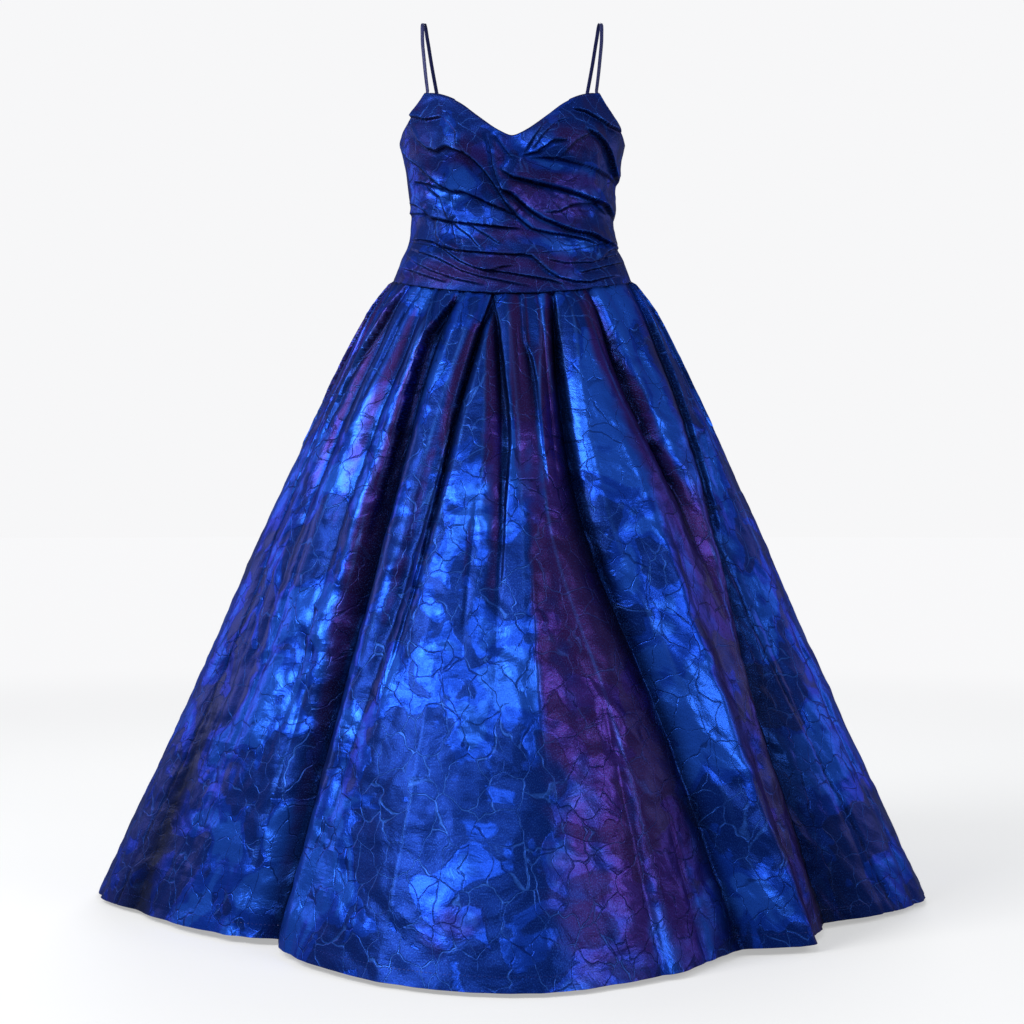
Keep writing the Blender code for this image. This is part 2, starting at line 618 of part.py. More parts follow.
def build_slider(finish):
    """The slider's body with two ears and the pin between them."""
    base = slider_place()
    half = SLIDER_LENGTH / 2
    nose = 0.0015
    body_outline = [(0, -half), (SLIDER_DEPTH, -half + nose), (SLIDER_DEPTH, half - nose), (0, half)]
    body = prism("zip_slider", body_outline, -SLIDER_WIDTH / 2, SLIDER_WIDTH / 2, finish, base)
    ear_outline = [(SLIDER_DEPTH / 2, -EAR_RADIUS)]
    ear_outline += round_points(EAR_RADIUS, SLIDER_DEPTH + PIN_OUT, 7, -math.pi / 2, math.pi / 2, closed=True)
    ear_outline += [(SLIDER_DEPTH / 2, EAR_RADIUS)]
    ears = []
    for name, side in (("ear_right", 1), ("ear_left", -1)):
        near, far = sorted((side * EAR_GAP / 2, side * (EAR_GAP / 2 + EAR_WIDTH)))
        ears.append(prism(name, ear_outline, near, far, finish, base))
    pin_outline = round_points(PIN_RADIUS, SLIDER_DEPTH + PIN_OUT, 10)
    pin = prism("pin", pin_outline, -EAR_GAP / 2 - EAR_WIDTH / 2, EAR_GAP / 2 + EAR_WIDTH / 2, finish, base)
    union(body, *ears, pin)
    return base + np.array((0.0, SLIDER_DEPTH + PIN_OUT, 0.0))


def build_tab(finish, hinge):
    """A drop-shaped tab: an eye round the pin, a neck and a rounded pull, hanging from the hinge."""
    half_neck, half_wide = TAB_NECK / 2, TAB_WIDTH / 2
    pull_centre = -(TAB_LENGTH - half_wide)
    neck_end, shoulder, shoulder_share = -0.0040, -0.0085, 0.8
    sides = [(half_neck, -TAB_HOLE_RADIUS), (half_neck, neck_end), (half_wide * shoulder_share, shoulder)]
    bottom = [
        (half_wide * math.cos(t), pull_centre + half_wide * math.sin(t))
        for t in np.linspace(0, -math.pi, 9)
    ]
    outline = sides + bottom + [(-x, z) for x, z in reversed(sides)]
    count = len(outline)
    points = [(x, y, z) for y in (-TAB_THICKNESS / 2, TAB_THICKNESS / 2) for x, z in outline]
    faces = [tuple(range(count)), tuple(reversed(range(count, 2 * count)))]
    faces += [(i, i + count, (i + 1) % count + count, (i + 1) % count) for i in range(count)]
    faces = [tuple(reversed(face)) for face in faces]
    plate = add_object("zip_tab", points, faces, finish, shade_smooth=False)
    plate.location = hinge
    sides_round = 16
    eye_outline = round_points(TAB_EYE_RADIUS, 0, sides_round)
    eye = prism("tab_eye", eye_outline, -half_neck, half_neck, finish, hinge)
    hole_outline = round_points(TAB_HOLE_RADIUS, 0, sides_round)
    hole = prism("tab_hole", hole_outline, -half_neck * 2, half_neck * 2, finish, hinge)
    union(plate, eye)
    cut = plate.modifiers.new("cut_hole", "BOOLEAN")
    cut.operation = "DIFFERENCE"
    cut.object = hole
    hole.hide_render = True
    hole.display_type = "WIRE"


def main():
    clear_scene()
    shot_taffeta = material("shot_taffeta", (0.020, 0.060, 0.520), 0.34, 0.45)
    draped_taffeta = material("draped_taffeta", (0.030, 0.045, 0.420), 0.34, 0.45)
    strap_satin = material("strap_satin", (0.020, 0.035, 0.200), 0.40, 0.20)
    zip_cloth = material("zip_cloth", (0.012, 0.016, 0.090), 0.60, 0.0)
    zip_metal = material("zip_metal", (0.030, 0.040, 0.180), 0.35, 0.60)
    build_bodice(draped_taffeta)
    build_waistband(draped_taffeta)
    build_skirt(shot_taffeta)
    build_straps(strap_satin)
    build_zip_tape(zip_cloth)
    hinge = build_slider(zip_metal)
    build_tab(zip_metal, hinge)
    print("tab hinge at", [round(float(v), 5) for v in hinge])


main()
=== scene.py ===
# %% [markdown]
# # A prom dress in shot taffeta
# The dress is filled out as when it is worn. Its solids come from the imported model: they give the size,
# and the physics uses them. This lesson dresses them: every cloth piece is made again as a thin shell on
# the same form, with sharper pleats and crumples, and gets a cloth that looks woven.
# Metres, +Z up, the front faces -Y. Left and right are the viewer's, facing the front.

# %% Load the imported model
import math
from collections import namedtuple

import bpy
import numpy as np
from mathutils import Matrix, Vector


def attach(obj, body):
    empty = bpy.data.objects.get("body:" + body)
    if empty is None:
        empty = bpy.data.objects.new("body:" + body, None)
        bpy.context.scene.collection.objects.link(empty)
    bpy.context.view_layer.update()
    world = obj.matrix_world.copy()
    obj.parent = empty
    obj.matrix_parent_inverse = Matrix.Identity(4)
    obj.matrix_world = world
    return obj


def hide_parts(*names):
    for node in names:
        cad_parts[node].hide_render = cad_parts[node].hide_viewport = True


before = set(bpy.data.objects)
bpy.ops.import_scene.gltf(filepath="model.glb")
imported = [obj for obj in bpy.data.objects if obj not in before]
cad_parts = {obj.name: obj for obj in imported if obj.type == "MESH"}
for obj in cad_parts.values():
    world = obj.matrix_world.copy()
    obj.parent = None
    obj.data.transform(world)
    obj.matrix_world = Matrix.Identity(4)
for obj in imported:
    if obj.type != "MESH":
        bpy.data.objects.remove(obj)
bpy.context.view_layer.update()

MM = 1000.0
scene = bpy.context.scene


def placed(name, data):
    """A new object at the origin, linked to the scene."""
    made = bpy.data.objects.new(name, data)
    scene.collection.objects.link(made)
    return made


print("nodes:", ", ".join(sorted(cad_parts)))

# %% [markdown]
# ## Camera
# A long lens, level with the middle of the skirt, sees the whole dress with little perspective.
# The lens is worked out from the distance and from how many metres one pixel spans there.

# %% Camera
CAMERA_DISTANCE = 2.81
CAMERA_LEVEL = -0.735
METRES_PER_PIXEL = 0.0015
PICTURE_PIXELS = 1024
SENSOR_MM = 36.0
CLIP_END = 200.0

camera_data = bpy.data.cameras.new("photo_camera")
camera_data.sensor_width = SENSOR_MM
camera_data.lens = SENSOR_MM * CAMERA_DISTANCE / METRES_PER_PIXEL / PICTURE_PIXELS
camera_data.clip_end = CLIP_END
camera = placed("photo_camera", camera_data)
camera.location = (0.0, -CAMERA_DISTANCE, CAMERA_LEVEL)
camera.rotation_euler = (math.radians(90), 0.0, 0.0)
scene.camera = camera
print(f"lens {camera_data.lens:.1f} mm")

# %% [markdown]
# ## Writing a material as Python
# A material is a tree of nodes. Clicking it together hides the sums, so one small class wraps a
# node's output: arithmetic on it adds Math nodes, and `node` adds any other kind.

# %% A socket with arithmetic
class Shade:
    """An output socket of a material's tree."""

    def __init__(self, tree, socket=None):
        self.tree = tree
        self.socket = socket

    def node(self, kind, settings=None, inputs=None, output=0):
        made = self.tree.nodes.new(kind)
        for name, value in (settings or {}).items():
            setattr(made, name, value)
        for key, value in (inputs or {}).items():
            if isinstance(value, Shade):
                self.tree.links.new(value.socket, made.inputs[key])
            else:
                made.inputs[key].default_value = value
        return Shade(self.tree, made.outputs[output])

    def maths(self, operation, *values):
        return self.node("ShaderNodeMath", {"operation": operation}, dict(enumerate(values)))

    def __add__(self, other):
        return self.maths("ADD", self, other)

    def __radd__(self, other):
        return self.maths("ADD", other, self)

    def __sub__(self, other):
        return self.maths("SUBTRACT", self, other)

    def __rsub__(self, other):
        return self.maths("SUBTRACT", other, self)

    def __mul__(self, other):
        return self.maths("MULTIPLY", self, other)

    def __rmul__(self, other):
        return self.maths("MULTIPLY", other, self)


# %% Colours and blends
def colour(red, green, blue):
    """A linear colour from the 0 to 255 values that a picture shows."""
    def linear(value):
        share = value / 255.0
        return share / 12.92 if share <= 0.04045 else ((share + 0.055) / 1.055) ** 2.4
    return (linear(red), linear(green), linear(blue), 1.0)


def between(value, low, high):
    """0 where the value is at low, 1 where it is at high, and a soft change between them."""
    inputs = {"Value": value, "From Min": low, "From Max": high}
    return value.node("ShaderNodeMapRange", {"interpolation_type": "SMOOTHSTEP"}, inputs)


def mix(amount, first, second):
    """A blend of two colours, of which the amount or a colour is a socket."""
    socket = next(value for value in (amount, first, second) if isinstance(value, Shade))
    return socket.node("ShaderNodeMix", {"data_type": "RGBA"}, {0: amount, 6: first, 7: second}, output=2)


# %% Places and noise
def scaled(place, across, along):
    """A place on the cloth, stretched by two factors."""
    return place.node("ShaderNodeVectorMath", {"operation": "MULTIPLY"}, {0: place, 1: (across, along, 1.0)})


def cloud(place, detail=4.0, roughness=0.55, distortion=0.0, output=0):
    """Soft noise, about one blob for each unit of place. Output 1 is a colour, to bend other patterns."""
    inputs = {"Vector": place, "Scale": 1.0, "Detail": detail, "Roughness": roughness}
    inputs["Distortion"] = distortion
    return place.node("ShaderNodeTexNoise", {}, inputs, output)


def bent(place, by, amount):
    """A place moved about by a colour noise."""
    by_amount = (amount, amount, 0.0)
    return place.node("ShaderNodeVectorMath", {"operation": "MULTIPLY_ADD"}, {0: by, 1: by_amount, 2: place})


# %% A material and its shader
def new_material(name):
    """A new material, its Principled shader, and a Shade to start from."""
    made = bpy.data.materials.new(name)
    made.use_nodes = True
    return made, made.node_tree.nodes["Principled BSDF"], Shade(made.node_tree)


def feed(shader, name, value):
    """Links a socket into the shader, or sets a plain value on it."""
    if isinstance(value, Shade):
        value.tree.links.new(value.socket, shader.inputs[name])
    else:
        shader.inputs[name].default_value = value


def feed_relief(shader, height, strength, distance):
    """Shades the surface as if the height, times a distance in metres, were raised on it."""
    inputs = {"Strength": strength, "Distance": distance, "Height": height}
    feed(shader, "Normal", height.node("ShaderNodeBump", {}, inputs))


def own_place(start):
    """The place on the object itself, in metres."""
    return start.node("ShaderNodeTexCoord", {}, output=3)


def flat_place_of(start):
    """The place on the cloth laid flat, in metres."""
    return start.node("ShaderNodeUVMap", {"uv_map": "cloth"})

# %% [markdown]
# ## The cloth
# Shot taffeta is woven with a blue warp and a violet weft, so a pleat looks blue on one flank and violet
# on the other. This one also has a crackled pattern: navy lakes with feathered edges, and fine veins.
# A picture of the cloth would be quicker, but a pattern from nodes stays sharp and repeats nowhere.
# It lies on the cloth's own flat coordinates, in metres, so it follows each fold. The weave's two
# colours come from an attribute of the mesh, `flank`, which says to which side the cloth faces.
# Other attributes paint a highlight on the edges of pleats and shade in their valleys and gaps.

# %% Colours of the cloth
NAVY = colour(13, 40, 116)
BLUE = colour(22, 64, 180)
# The brightest tone of the pattern, which the painted highlights of the sheen tables also reach
BRIGHT = colour(36, 90, 208)
DEEP_PURPLE = colour(54, 26, 80)
VIOLET = colour(70, 38, 126)
EDGE_BLUE = colour(34, 68, 170)
# Pale blue for cell lines and speckle, and the painted highlight on the edges of pleats
PALE_LINE_AND_HIGHLIGHT = colour(58, 116, 228)
LINE_DARK = colour(6, 14, 64)
# Painted shade: a navy that dims the bodice's copy of the cloth, and the dark of valleys and gaps
PAINTED_SHADE_NAVY = colour(20, 20, 72)
PAINTED_SHADE_DARK = colour(2, 3, 14)


# %% Sizes of the pattern
MARKS = ("lake", "flank", "lip", "valley", "crease")
FEATHERS_PER_METRE = (17.0, 25.0)
FEATHERING = 0.55
SHORE = (0.435, 0.505)
BRIGHT_SHORE = (0.60, 0.72)
WANDERS_PER_METRE = (19.0, 19.0)
WANDER = 0.05
CELL_STRETCH = 0.72
LINE_EDGE = (0.006, 0.026)
LINE_GAPS = (0.34, 0.52)
LINE_LIGHT_SHARE, LINE_DARK_SHARE = 0.36, 0.60
VIOLET_FEATHERING = 0.35
VIOLET_FADE = 0.40
# How strong the painted highlight on edges and the painted shade in valleys and gaps are
LIP_HIGHLIGHT_SHARE, VALLEY_SHADE_SHARE = 0.45, 0.90
SPECKLES_PER_METRE = (900.0, 520.0)
SPECKLE_LIGHT_SHARE, SPECKLE_DARK_SHARE = 0.22, 0.35
RELIEF_STRENGTH, RELIEF_DISTANCE = 0.75, 0.0018


def cell_lines(place, cell, feather):
    """Outlines of rounded cells, broken where the feathering is low."""
    wander = bent(place, cloud(scaled(place, *WANDERS_PER_METRE), 2.0, output=1), WANDER)
    edge = wander.node("ShaderNodeTexVoronoi", {"feature": "DISTANCE_TO_EDGE"},
                       {"Vector": scaled(wander, 1.0 / cell, CELL_STRETCH / cell), "Scale": 1.0})
    return (1.0 - between(edge, *LINE_EDGE)) * between(feather, *LINE_GAPS)


# %% Shot taffeta
def taffeta(name, cell, violet_from, violet_share, painted_shade, metal, rough):
    """The dress's cloth: the size of its cells in metres, how far it turns violet, how much painted shade
    dims it, and its shine.
    """
    made, shader, start = new_material(name)
    place = flat_place_of(start)
    lake, flank, lip, valley, crease = (
        start.node("ShaderNodeAttribute", {"attribute_name": mark}, output=2) for mark in MARKS
    )

    # Feathered streaks, a little longer across the cloth than along it
    feather = cloud(scaled(place, *FEATHERS_PER_METRE), detail=6.0, roughness=0.60, distortion=0.7)

    # Navy lakes and brighter land; the shore is hard in one place and feathered in the next
    # The lakes also carry the painted highlights and patches painted darker from the sheen tables
    shore = lake + (feather - 0.5) * FEATHERING
    land = between(shore, *SHORE)
    bright = between(shore, *BRIGHT_SHORE)

    # The two colours of the weave
    blue = mix(bright, mix(land, NAVY, BLUE), BRIGHT)
    violet = mix(land * 0.45 + bright * 0.30, DEEP_PURPLE, VIOLET)
    turned = between(flank + (feather - 0.5) * VIOLET_FEATHERING, violet_from, violet_from + VIOLET_FADE)
    base = mix(turned * violet_share, blue, violet)

    # Outlines of the cells: light on the navy, dark on the land
    line = cell_lines(place, cell, feather)
    base = mix(line * (1.0 - land) * (1.0 - turned * 0.6) * LINE_LIGHT_SHARE, base, PALE_LINE_AND_HIGHLIGHT)
    base = mix(line * land * LINE_DARK_SHARE, base, LINE_DARK)
    # The bodice's copy of the cloth is dimmed towards navy: painted shade
    if painted_shade > 0:
        base = mix(painted_shade, base, PAINTED_SHADE_NAVY)
    # Painted highlight along the edges of pleats, painted shade in valleys and gaps
    base = mix(lip * LIP_HIGHLIGHT_SHARE, base, PALE_LINE_AND_HIGHLIGHT)
    base = mix(valley * VALLEY_SHADE_SHARE, base, PAINTED_SHADE_DARK)

    # The weave: fine speckle of warp and weft
    grain = cloud(scaled(place, *SPECKLES_PER_METRE), 1.0, 0.6)
    base = mix(between(grain, 0.50, 0.72) * SPECKLE_LIGHT_SHARE, base, PALE_LINE_AND_HIGHLIGHT)
    base = mix(between(grain, 0.50, 0.30) * SPECKLE_DARK_SHARE, base, LINE_DARK)

    feed(shader, "Base Color", base)
    feed(shader, "Roughness", rough + feather * 0.14 + (1.0 - land) * 0.05)
    feed(shader, "Metallic", land * (0.18 * metal) + 0.82 * metal)
    feed(shader, "Specular Tint", EDGE_BLUE)

    # Feathers, creases and cell outlines stand up or sink in
    ridge = feather.maths("ABSOLUTE", feather - 0.5)
    height = grain * 0.05 + line * -0.30 + (ridge * 1.6 + crease * 2.5) * (0.70 + land * 0.30)
    feed_relief(shader, height, RELIEF_STRENGTH, RELIEF_DISTANCE)
    return made


skirt_cloth = taffeta("skirt_cloth", cell=0.036, violet_from=0.07, violet_share=0.94,
                      painted_shade=0.0, metal=0.68, rough=0.23)
bodice_cloth = taffeta("bodice_cloth", cell=0.027, violet_from=-0.04, violet_share=0.78,
                       painted_shade=0.16, metal=0.62, rough=0.26)
print("cloths:", skirt_cloth.name, bodice_cloth.name)

# %% [markdown]
# ## The form under the cloth
# The solids were worked out from a few tables: an oval body with two cups, a skirt of rings, and folds
# that sink into it. The same tables and sums are repeated here, because the visible cloth has to lie
# on the same form, only on a much finer grid.

# %% Sizes of the form
HEIGHT = 1.2975
SEAM_GAP = 0.0003
WAIST_SIDE_Z = -0.3945
WAIST_FRONT_DIP = 0.026
BAND_TOP_SIDE_Z = -0.333
BAND_TOP_FRONT_DIP = 0.030
BACK_EDGE_Z = -0.1855
BACK_EDGE_DIP = 0.020
CORNER_DEG = 52.5
NECK_ROUNDING = 2.5
HEM_LIFT = 0.004
FRONT_PINCH = 0.18
BACK_PINCH = 0.05

Level = namedtuple("Level", "z side front back")
TORSO = (
    Level(-0.100, 0.1580, 0.080, 0.078),
    Level(-0.124, 0.1630, 0.092, 0.084),
    Level(-0.155, 0.1670, 0.105, 0.090),
    Level(-0.186, 0.1670, 0.113, 0.094),
    Level(-0.213, 0.1605, 0.112, 0.095),
    Level(-0.249, 0.1540, 0.106, 0.092),
    Level(-0.285, 0.1505, 0.100, 0.089),
    Level(-0.303, 0.1495, 0.098, 0.089),
    Level(-0.321, 0.1510, 0.099, 0.091),
    Level(-0.339, 0.1555, 0.102, 0.093),
    Level(-0.357, 0.1635, 0.106, 0.096),
    Level(-0.375, 0.1705, 0.111, 0.099),
    Level(-0.395, 0.1785, 0.116, 0.102),
    Level(-0.430, 0.1890, 0.122, 0.107),
)
CUP_X, CUP_Z, CUP_HEIGHT, CUP_SPREAD_X, CUP_SPREAD_Z = 0.076, -0.206, 0.019, 0.046, 0.044
NECKLINE = (
    (0, -0.1955), (8, -0.1813), (16, -0.1630), (25, -0.1425), (32, -0.1317), (42, -0.1222), (52.5, -0.1185)
)
ARMHOLE = ((52.5, -0.1185), (57, -0.1355), (62, -0.1495), (69, -0.1642), (77, -0.1750), (90, -0.1855))

Ring = namedtuple("Ring", "share side front back")
SKIRT = (
    Ring(0.000, 0.183, 0.120, 0.105),
    Ring(0.030, 0.203, 0.141, 0.124),
    Ring(0.125, 0.249, 0.192, 0.176),
    Ring(0.320, 0.336, 0.292, 0.276),
    Ring(0.590, 0.445, 0.418, 0.405),
    Ring(1.000, 0.619, 0.622, 0.600),
)


# %% Sums for the form
def smooth(x, xs, ys):
    """A smooth curve through the points (xs, ys), read at x."""
    xs, ys, x = np.asarray(xs, float), np.asarray(ys, float), np.asarray(x, float)
    slopes = np.gradient(ys, xs)
    x = np.clip(x, xs[0], xs[-1])
    i = np.clip(np.searchsorted(xs, x, side="right") - 1, 0, len(xs) - 2)
    step = xs[i + 1] - xs[i]
    t = (x - xs[i]) / step
    return (
        (2 * t**3 - 3 * t**2 + 1) * ys[i]
        + (t**3 - 2 * t**2 + t) * step * slopes[i]
        + (3 * t**2 - 2 * t**3) * ys[i + 1]
        + (t**3 - t**2) * step * slopes[i + 1]
    )


def soft_step(x, low, high):
    """0 below low, 1 above high, and a soft change between them."""
    t = np.clip((x - low) / (high - low), 0, 1)
    return t * t * (3 - 2 * t)


def hill(x, width):
    """1 where x is 0, falling softly to 0 over a few widths."""
    return np.exp(-((x / width) ** 2))


def column_of(rows, name):
    return [getattr(row, name) for row in rows]


def oval(angle, side, front, back):
    """A point on an oval that is as deep in front and behind as told, and its outward direction."""
    depth = np.where(np.cos(angle) > 0, front, back)
    x, y = side * np.sin(angle), -depth * np.cos(angle)
    out_x, out_y = np.sin(angle) / side, -np.cos(angle) / depth
    length = np.hypot(out_x, out_y)
    return x, y, out_x / length, out_y / length


def front_share(angle):
    return np.clip(np.cos(angle), 0, None) ** 2


def waist_level(angle):
    return WAIST_SIDE_Z - WAIST_FRONT_DIP * front_share(angle)


def band_top_level(angle):
    return BAND_TOP_SIDE_Z - BAND_TOP_FRONT_DIP * front_share(angle)


def top_level(angle):
    """The level of the bodice's top edge: neckline, armholes and straight back."""
    turned = np.degrees(np.abs(angle))
    rounded = np.hypot(turned, NECK_ROUNDING) - 0.4 * NECK_ROUNDING
    neck = smooth(rounded, *zip(*NECKLINE))
    neck = np.where(turned < 30, neck, smooth(turned, *zip(*NECKLINE)))
    arm = smooth(turned, *zip(*ARMHOLE))
    back = BACK_EDGE_Z - BACK_EDGE_DIP * np.sin(np.radians(np.clip(turned - 90, 0, 90))) ** 2
    return np.where(turned <= CORNER_DEG, neck, np.where(turned <= 90, arm, back))


def torso_point(angle, z, off=0.0):
    """A point on the body form, moved out by off."""
    levels = -np.array(column_of(TORSO, "z"))
    side, front, back = (smooth(-z, levels, column_of(TORSO, name)) for name in ("side", "front", "back"))
    x, y, out_x, out_y = oval(angle, side, front, back)
    for cup_x in (-CUP_X, CUP_X):
        near = hill(x - cup_x, CUP_SPREAD_X) * hill(z - CUP_Z, CUP_SPREAD_Z)
        off = off + np.where(np.cos(angle) > 0, CUP_HEIGHT * near * np.cos(angle), 0.0)
    return np.stack([x + out_x * off, y + out_y * off, z + 0 * x], axis=-1)


# %% [markdown]
# ## Crumples
# Taffeta is crisp: it doesn't ripple like jersey but breaks into flat facets that meet in creases.
# Smooth noise would look like rubber. A lattice of triangles with a random height at each corner is
# flat inside each triangle and creased along its sides, and a slow bend of the lattice hides its order.

# %% Random numbers on a lattice
def lattice_value(i, j, seed):
    """A fixed random number from -1 to 1 for each whole point of a lattice."""
    mask = 0xFFFFFFFF
    h = (i.astype(np.int64) * 374761393 + j.astype(np.int64) * 668265263 + seed * 1442695041) & mask
    h = ((h ^ (h >> 13)) * 1274126177) & mask
    return ((h ^ (h >> 16)) & 0xFFFF) / 32767.5 - 1.0


def soft_noise(u, v, size, seed):
    """Smooth noise from -1 to 1, with blobs of a size in metres."""
    a, b = u / size, v / size
    i, j = np.floor(a), np.floor(b)
    s, t = soft_step(a - i, 0, 1), soft_step(b - j, 0, 1)
    top = lattice_value(i, j, seed) * (1 - s) + lattice_value(i + 1, j, seed) * s
    low = lattice_value(i, j + 1, seed) * (1 - s) + lattice_value(i + 1, j + 1, seed) * s
    return top * (1 - t) + low * t


# %% Lakes, and facets that meet in creases
LAKE_BLOBS = ((0.55, 1.0), (0.30, 0.45), (0.22, 0.21))
LATTICE_SKEW = 0.366
Crumple = namedtuple("Crumple", "height across along size seed")


def lakes(u, v, size, seed):
    """Smooth blobs in blobs, from 0 to 1, about half of them over 0.5."""
    bent_u = u + 0.5 * size * soft_noise(u, v, size * 0.8, seed + 5)
    bent_v = v + 0.4 * size * soft_noise(u, v, size * 0.7, seed + 6)
    value = 0.0
    for number, (strength, part) in enumerate(LAKE_BLOBS):
        value = value + strength * soft_noise(bent_u, bent_v, size * part, seed + number)
    return np.clip(0.5 + 0.75 * value, 0, 1)


def facets(u, v, size, seed):
    """Flat triangles of random height, from -1 to 1, that meet in creases."""
    bend = 0.45 * size
    bent_u = u + bend * soft_noise(u, v, size * 1.4, seed + 1)
    bent_v = v + bend * soft_noise(u, v, size * 1.4, seed + 2)
    skew = (bent_u + bent_v) / size * LATTICE_SKEW
    a, b = bent_u / size + skew, bent_v / size + skew
    i, j = np.floor(a), np.floor(b)
    s, t = a - i, b - j
    middle = np.where(s > t, lattice_value(i + 1, j, seed), lattice_value(i, j + 1, seed))
    near, far = lattice_value(i, j, seed), lattice_value(i + 1, j + 1, seed)
    large, small = np.maximum(s, t), np.minimum(s, t)
    return near * (1 - large) + middle * (large - small) + far * small


def crumpled(rows, u, v):
    """The sum of several sizes of facets, each stretched in its own way."""
    return sum(row.height * facets(u * row.across, v * row.along, row.size, row.seed) for row in rows)

# %% [markdown]
# ## From a grid to a cloth shell
# A cloth piece is a grid of points, rows down and columns across, seen from outside. The shell adds
# a second grid a fraction of a millimetre inside, and closes the edges. It also stores what the
# material reads: flat coordinates in metres, to which side the cloth faces, and the painted highlight
# on lips and painted shade in valleys.

# %% A closed shell from a grid
SHARP_DEG = 70


def unit(vectors):
    """The same directions with a length of 1."""
    vectors = np.asarray(vectors, float)
    return vectors / np.maximum(np.linalg.norm(vectors, axis=-1, keepdims=True), 1e-12)


def run_along(points):
    """How far along its path each point lies."""
    return np.concatenate([[0.0], np.cumsum(np.linalg.norm(np.diff(points, axis=0), axis=1))])


def grid_normals(points):
    """The outward direction at each point of a grid."""
    return unit(np.cross(np.gradient(points, axis=0), np.gradient(points, axis=1)))


def mesh_from_quads(name, points, quads):
    mesh = bpy.data.meshes.new(name)
    mesh.vertices.add(len(points))
    mesh.vertices.foreach_set("co", points.astype(np.float32).ravel())
    mesh.loops.add(quads.size)
    mesh.loops.foreach_set("vertex_index", quads.astype(np.int32).ravel())
    mesh.polygons.add(len(quads))
    mesh.polygons.foreach_set("loop_start", np.arange(0, quads.size, 4, dtype=np.int32))
    mesh.update(calc_edges=True)
    mesh.validate()
    mesh.shade_smooth()
    return mesh


def quads_of(a, b, c, d):
    return np.stack([a, b, c, d], axis=-1).reshape(-1, 4)


def shell_quads(rows, columns):
    """The quads of a closed shell: outer grid, inner grid and the rim."""
    outer = np.arange(rows * columns).reshape(rows, columns)
    inner = outer + rows * columns
    return np.concatenate([
        quads_of(outer[:-1, :-1], outer[1:, :-1], outer[1:, 1:], outer[:-1, 1:]),
        quads_of(inner[:-1, 1:], inner[1:, 1:], inner[1:, :-1], inner[:-1, :-1]),
        quads_of(outer[0, :-1], outer[0, 1:], inner[0, 1:], inner[0, :-1]),
        quads_of(outer[-1, 1:], outer[-1, :-1], inner[-1, :-1], inner[-1, 1:]),
        quads_of(outer[1:, 0], outer[:-1, 0], inner[:-1, 0], inner[1:, 0]),
        quads_of(outer[:-1, -1], outer[1:, -1], inner[1:, -1], inner[:-1, -1]),
    ])


# %% What the material reads
def write_flat(mesh, flat):
    """Gives each corner of a mesh its flat coordinates, in metres."""
    corners = np.empty(len(mesh.loops), dtype=np.int32)
    mesh.loops.foreach_get("vertex_index", corners)
    mesh.uv_layers.new(name="cloth").data.foreach_set("uv", flat[corners].astype(np.float32).ravel())


def cloth_shell(name, outer, thickness, flat, marks, finish):
    """A closed shell with its flat coordinates and marks, which replaces its node."""
    inner = outer - grid_normals(outer) * thickness
    points = np.concatenate([outer.reshape(-1, 3), inner.reshape(-1, 3)])
    mesh = mesh_from_quads(name, points, shell_quads(*outer.shape[:2]))
    mesh.set_sharp_from_angle(angle=math.radians(SHARP_DEG))
    write_flat(mesh, np.tile(flat.reshape(-1, 2), (2, 1)))
    for mark in MARKS:
        layer = mesh.attributes.new(mark, "FLOAT", "POINT")
        layer.data.foreach_set("value", np.tile(marks[mark].ravel(), 2).astype(np.float32))
    mesh.materials.append(finish)
    made = placed(name + "_cloth", mesh)
    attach(made, "dress")
    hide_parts(name)
    return made


FLANK_BLUR = 3


def flank_of(points, plain):
    """How far folds turn the cloth sideways, against the plain form: -1 to the left, 1 to the right."""
    around = unit(np.gradient(plain, axis=1))
    turned = (grid_normals(points) * around).sum(axis=-1)
    widened = np.pad(turned, ((0, 0), (FLANK_BLUR, FLANK_BLUR)), mode="edge")
    shifts = range(2 * FLANK_BLUR + 1)
    return sum(widened[:, shift:shift + turned.shape[1]] for shift in shifts) / len(shifts)


def with_row_above(row, flat_row, outer, flat, marks):
    """The same grid with one more row of points above it."""
    marks = {mark: np.concatenate([values[:1], values]) for mark, values in marks.items()}
    return np.concatenate([row[None], outer]), np.concatenate([flat_row, flat]), marks


def cut_of(points):
    """Width, length and area of a grid laid flat: its longest row and column, and its surface."""
    across = np.linalg.norm(np.diff(points, axis=1), axis=-1)
    down = np.linalg.norm(np.diff(points, axis=0), axis=-1)
    a = points[1:, :-1] - points[:-1, :-1]
    b = points[:-1, 1:] - points[:-1, :-1]
    area = np.linalg.norm(np.cross(a, b), axis=-1).sum()
    return across.sum(axis=1).max(), down.sum(axis=0).max(), area


def declare_cut(made, outer):
    """Prints the cloth's cut to the millimetre, its area and its triangles."""
    width, length, area = cut_of(outer)
    area = min(area, width * length)
    triangles = len(made.data.polygons) * 2
    print(f"{made.name}: cut {width:.3f} x {length:.3f} m, {area:.4f} m2, {triangles} triangles")

# %% [markdown]
# ## The skirt
# Five panels hang from the waist in deep folds. A row of the table is one fold: its angle round the
# body and its depth down the skirt, and how many degrees it spreads to each side at the waist and hem.
# On the real dress a fold starts as a pressed pleat: two flat faces that meet in a sharp valley, between
# sharp lips. So half of each fold's depth is a V with straight flanks, and half is the soft groove that
# the solid has.

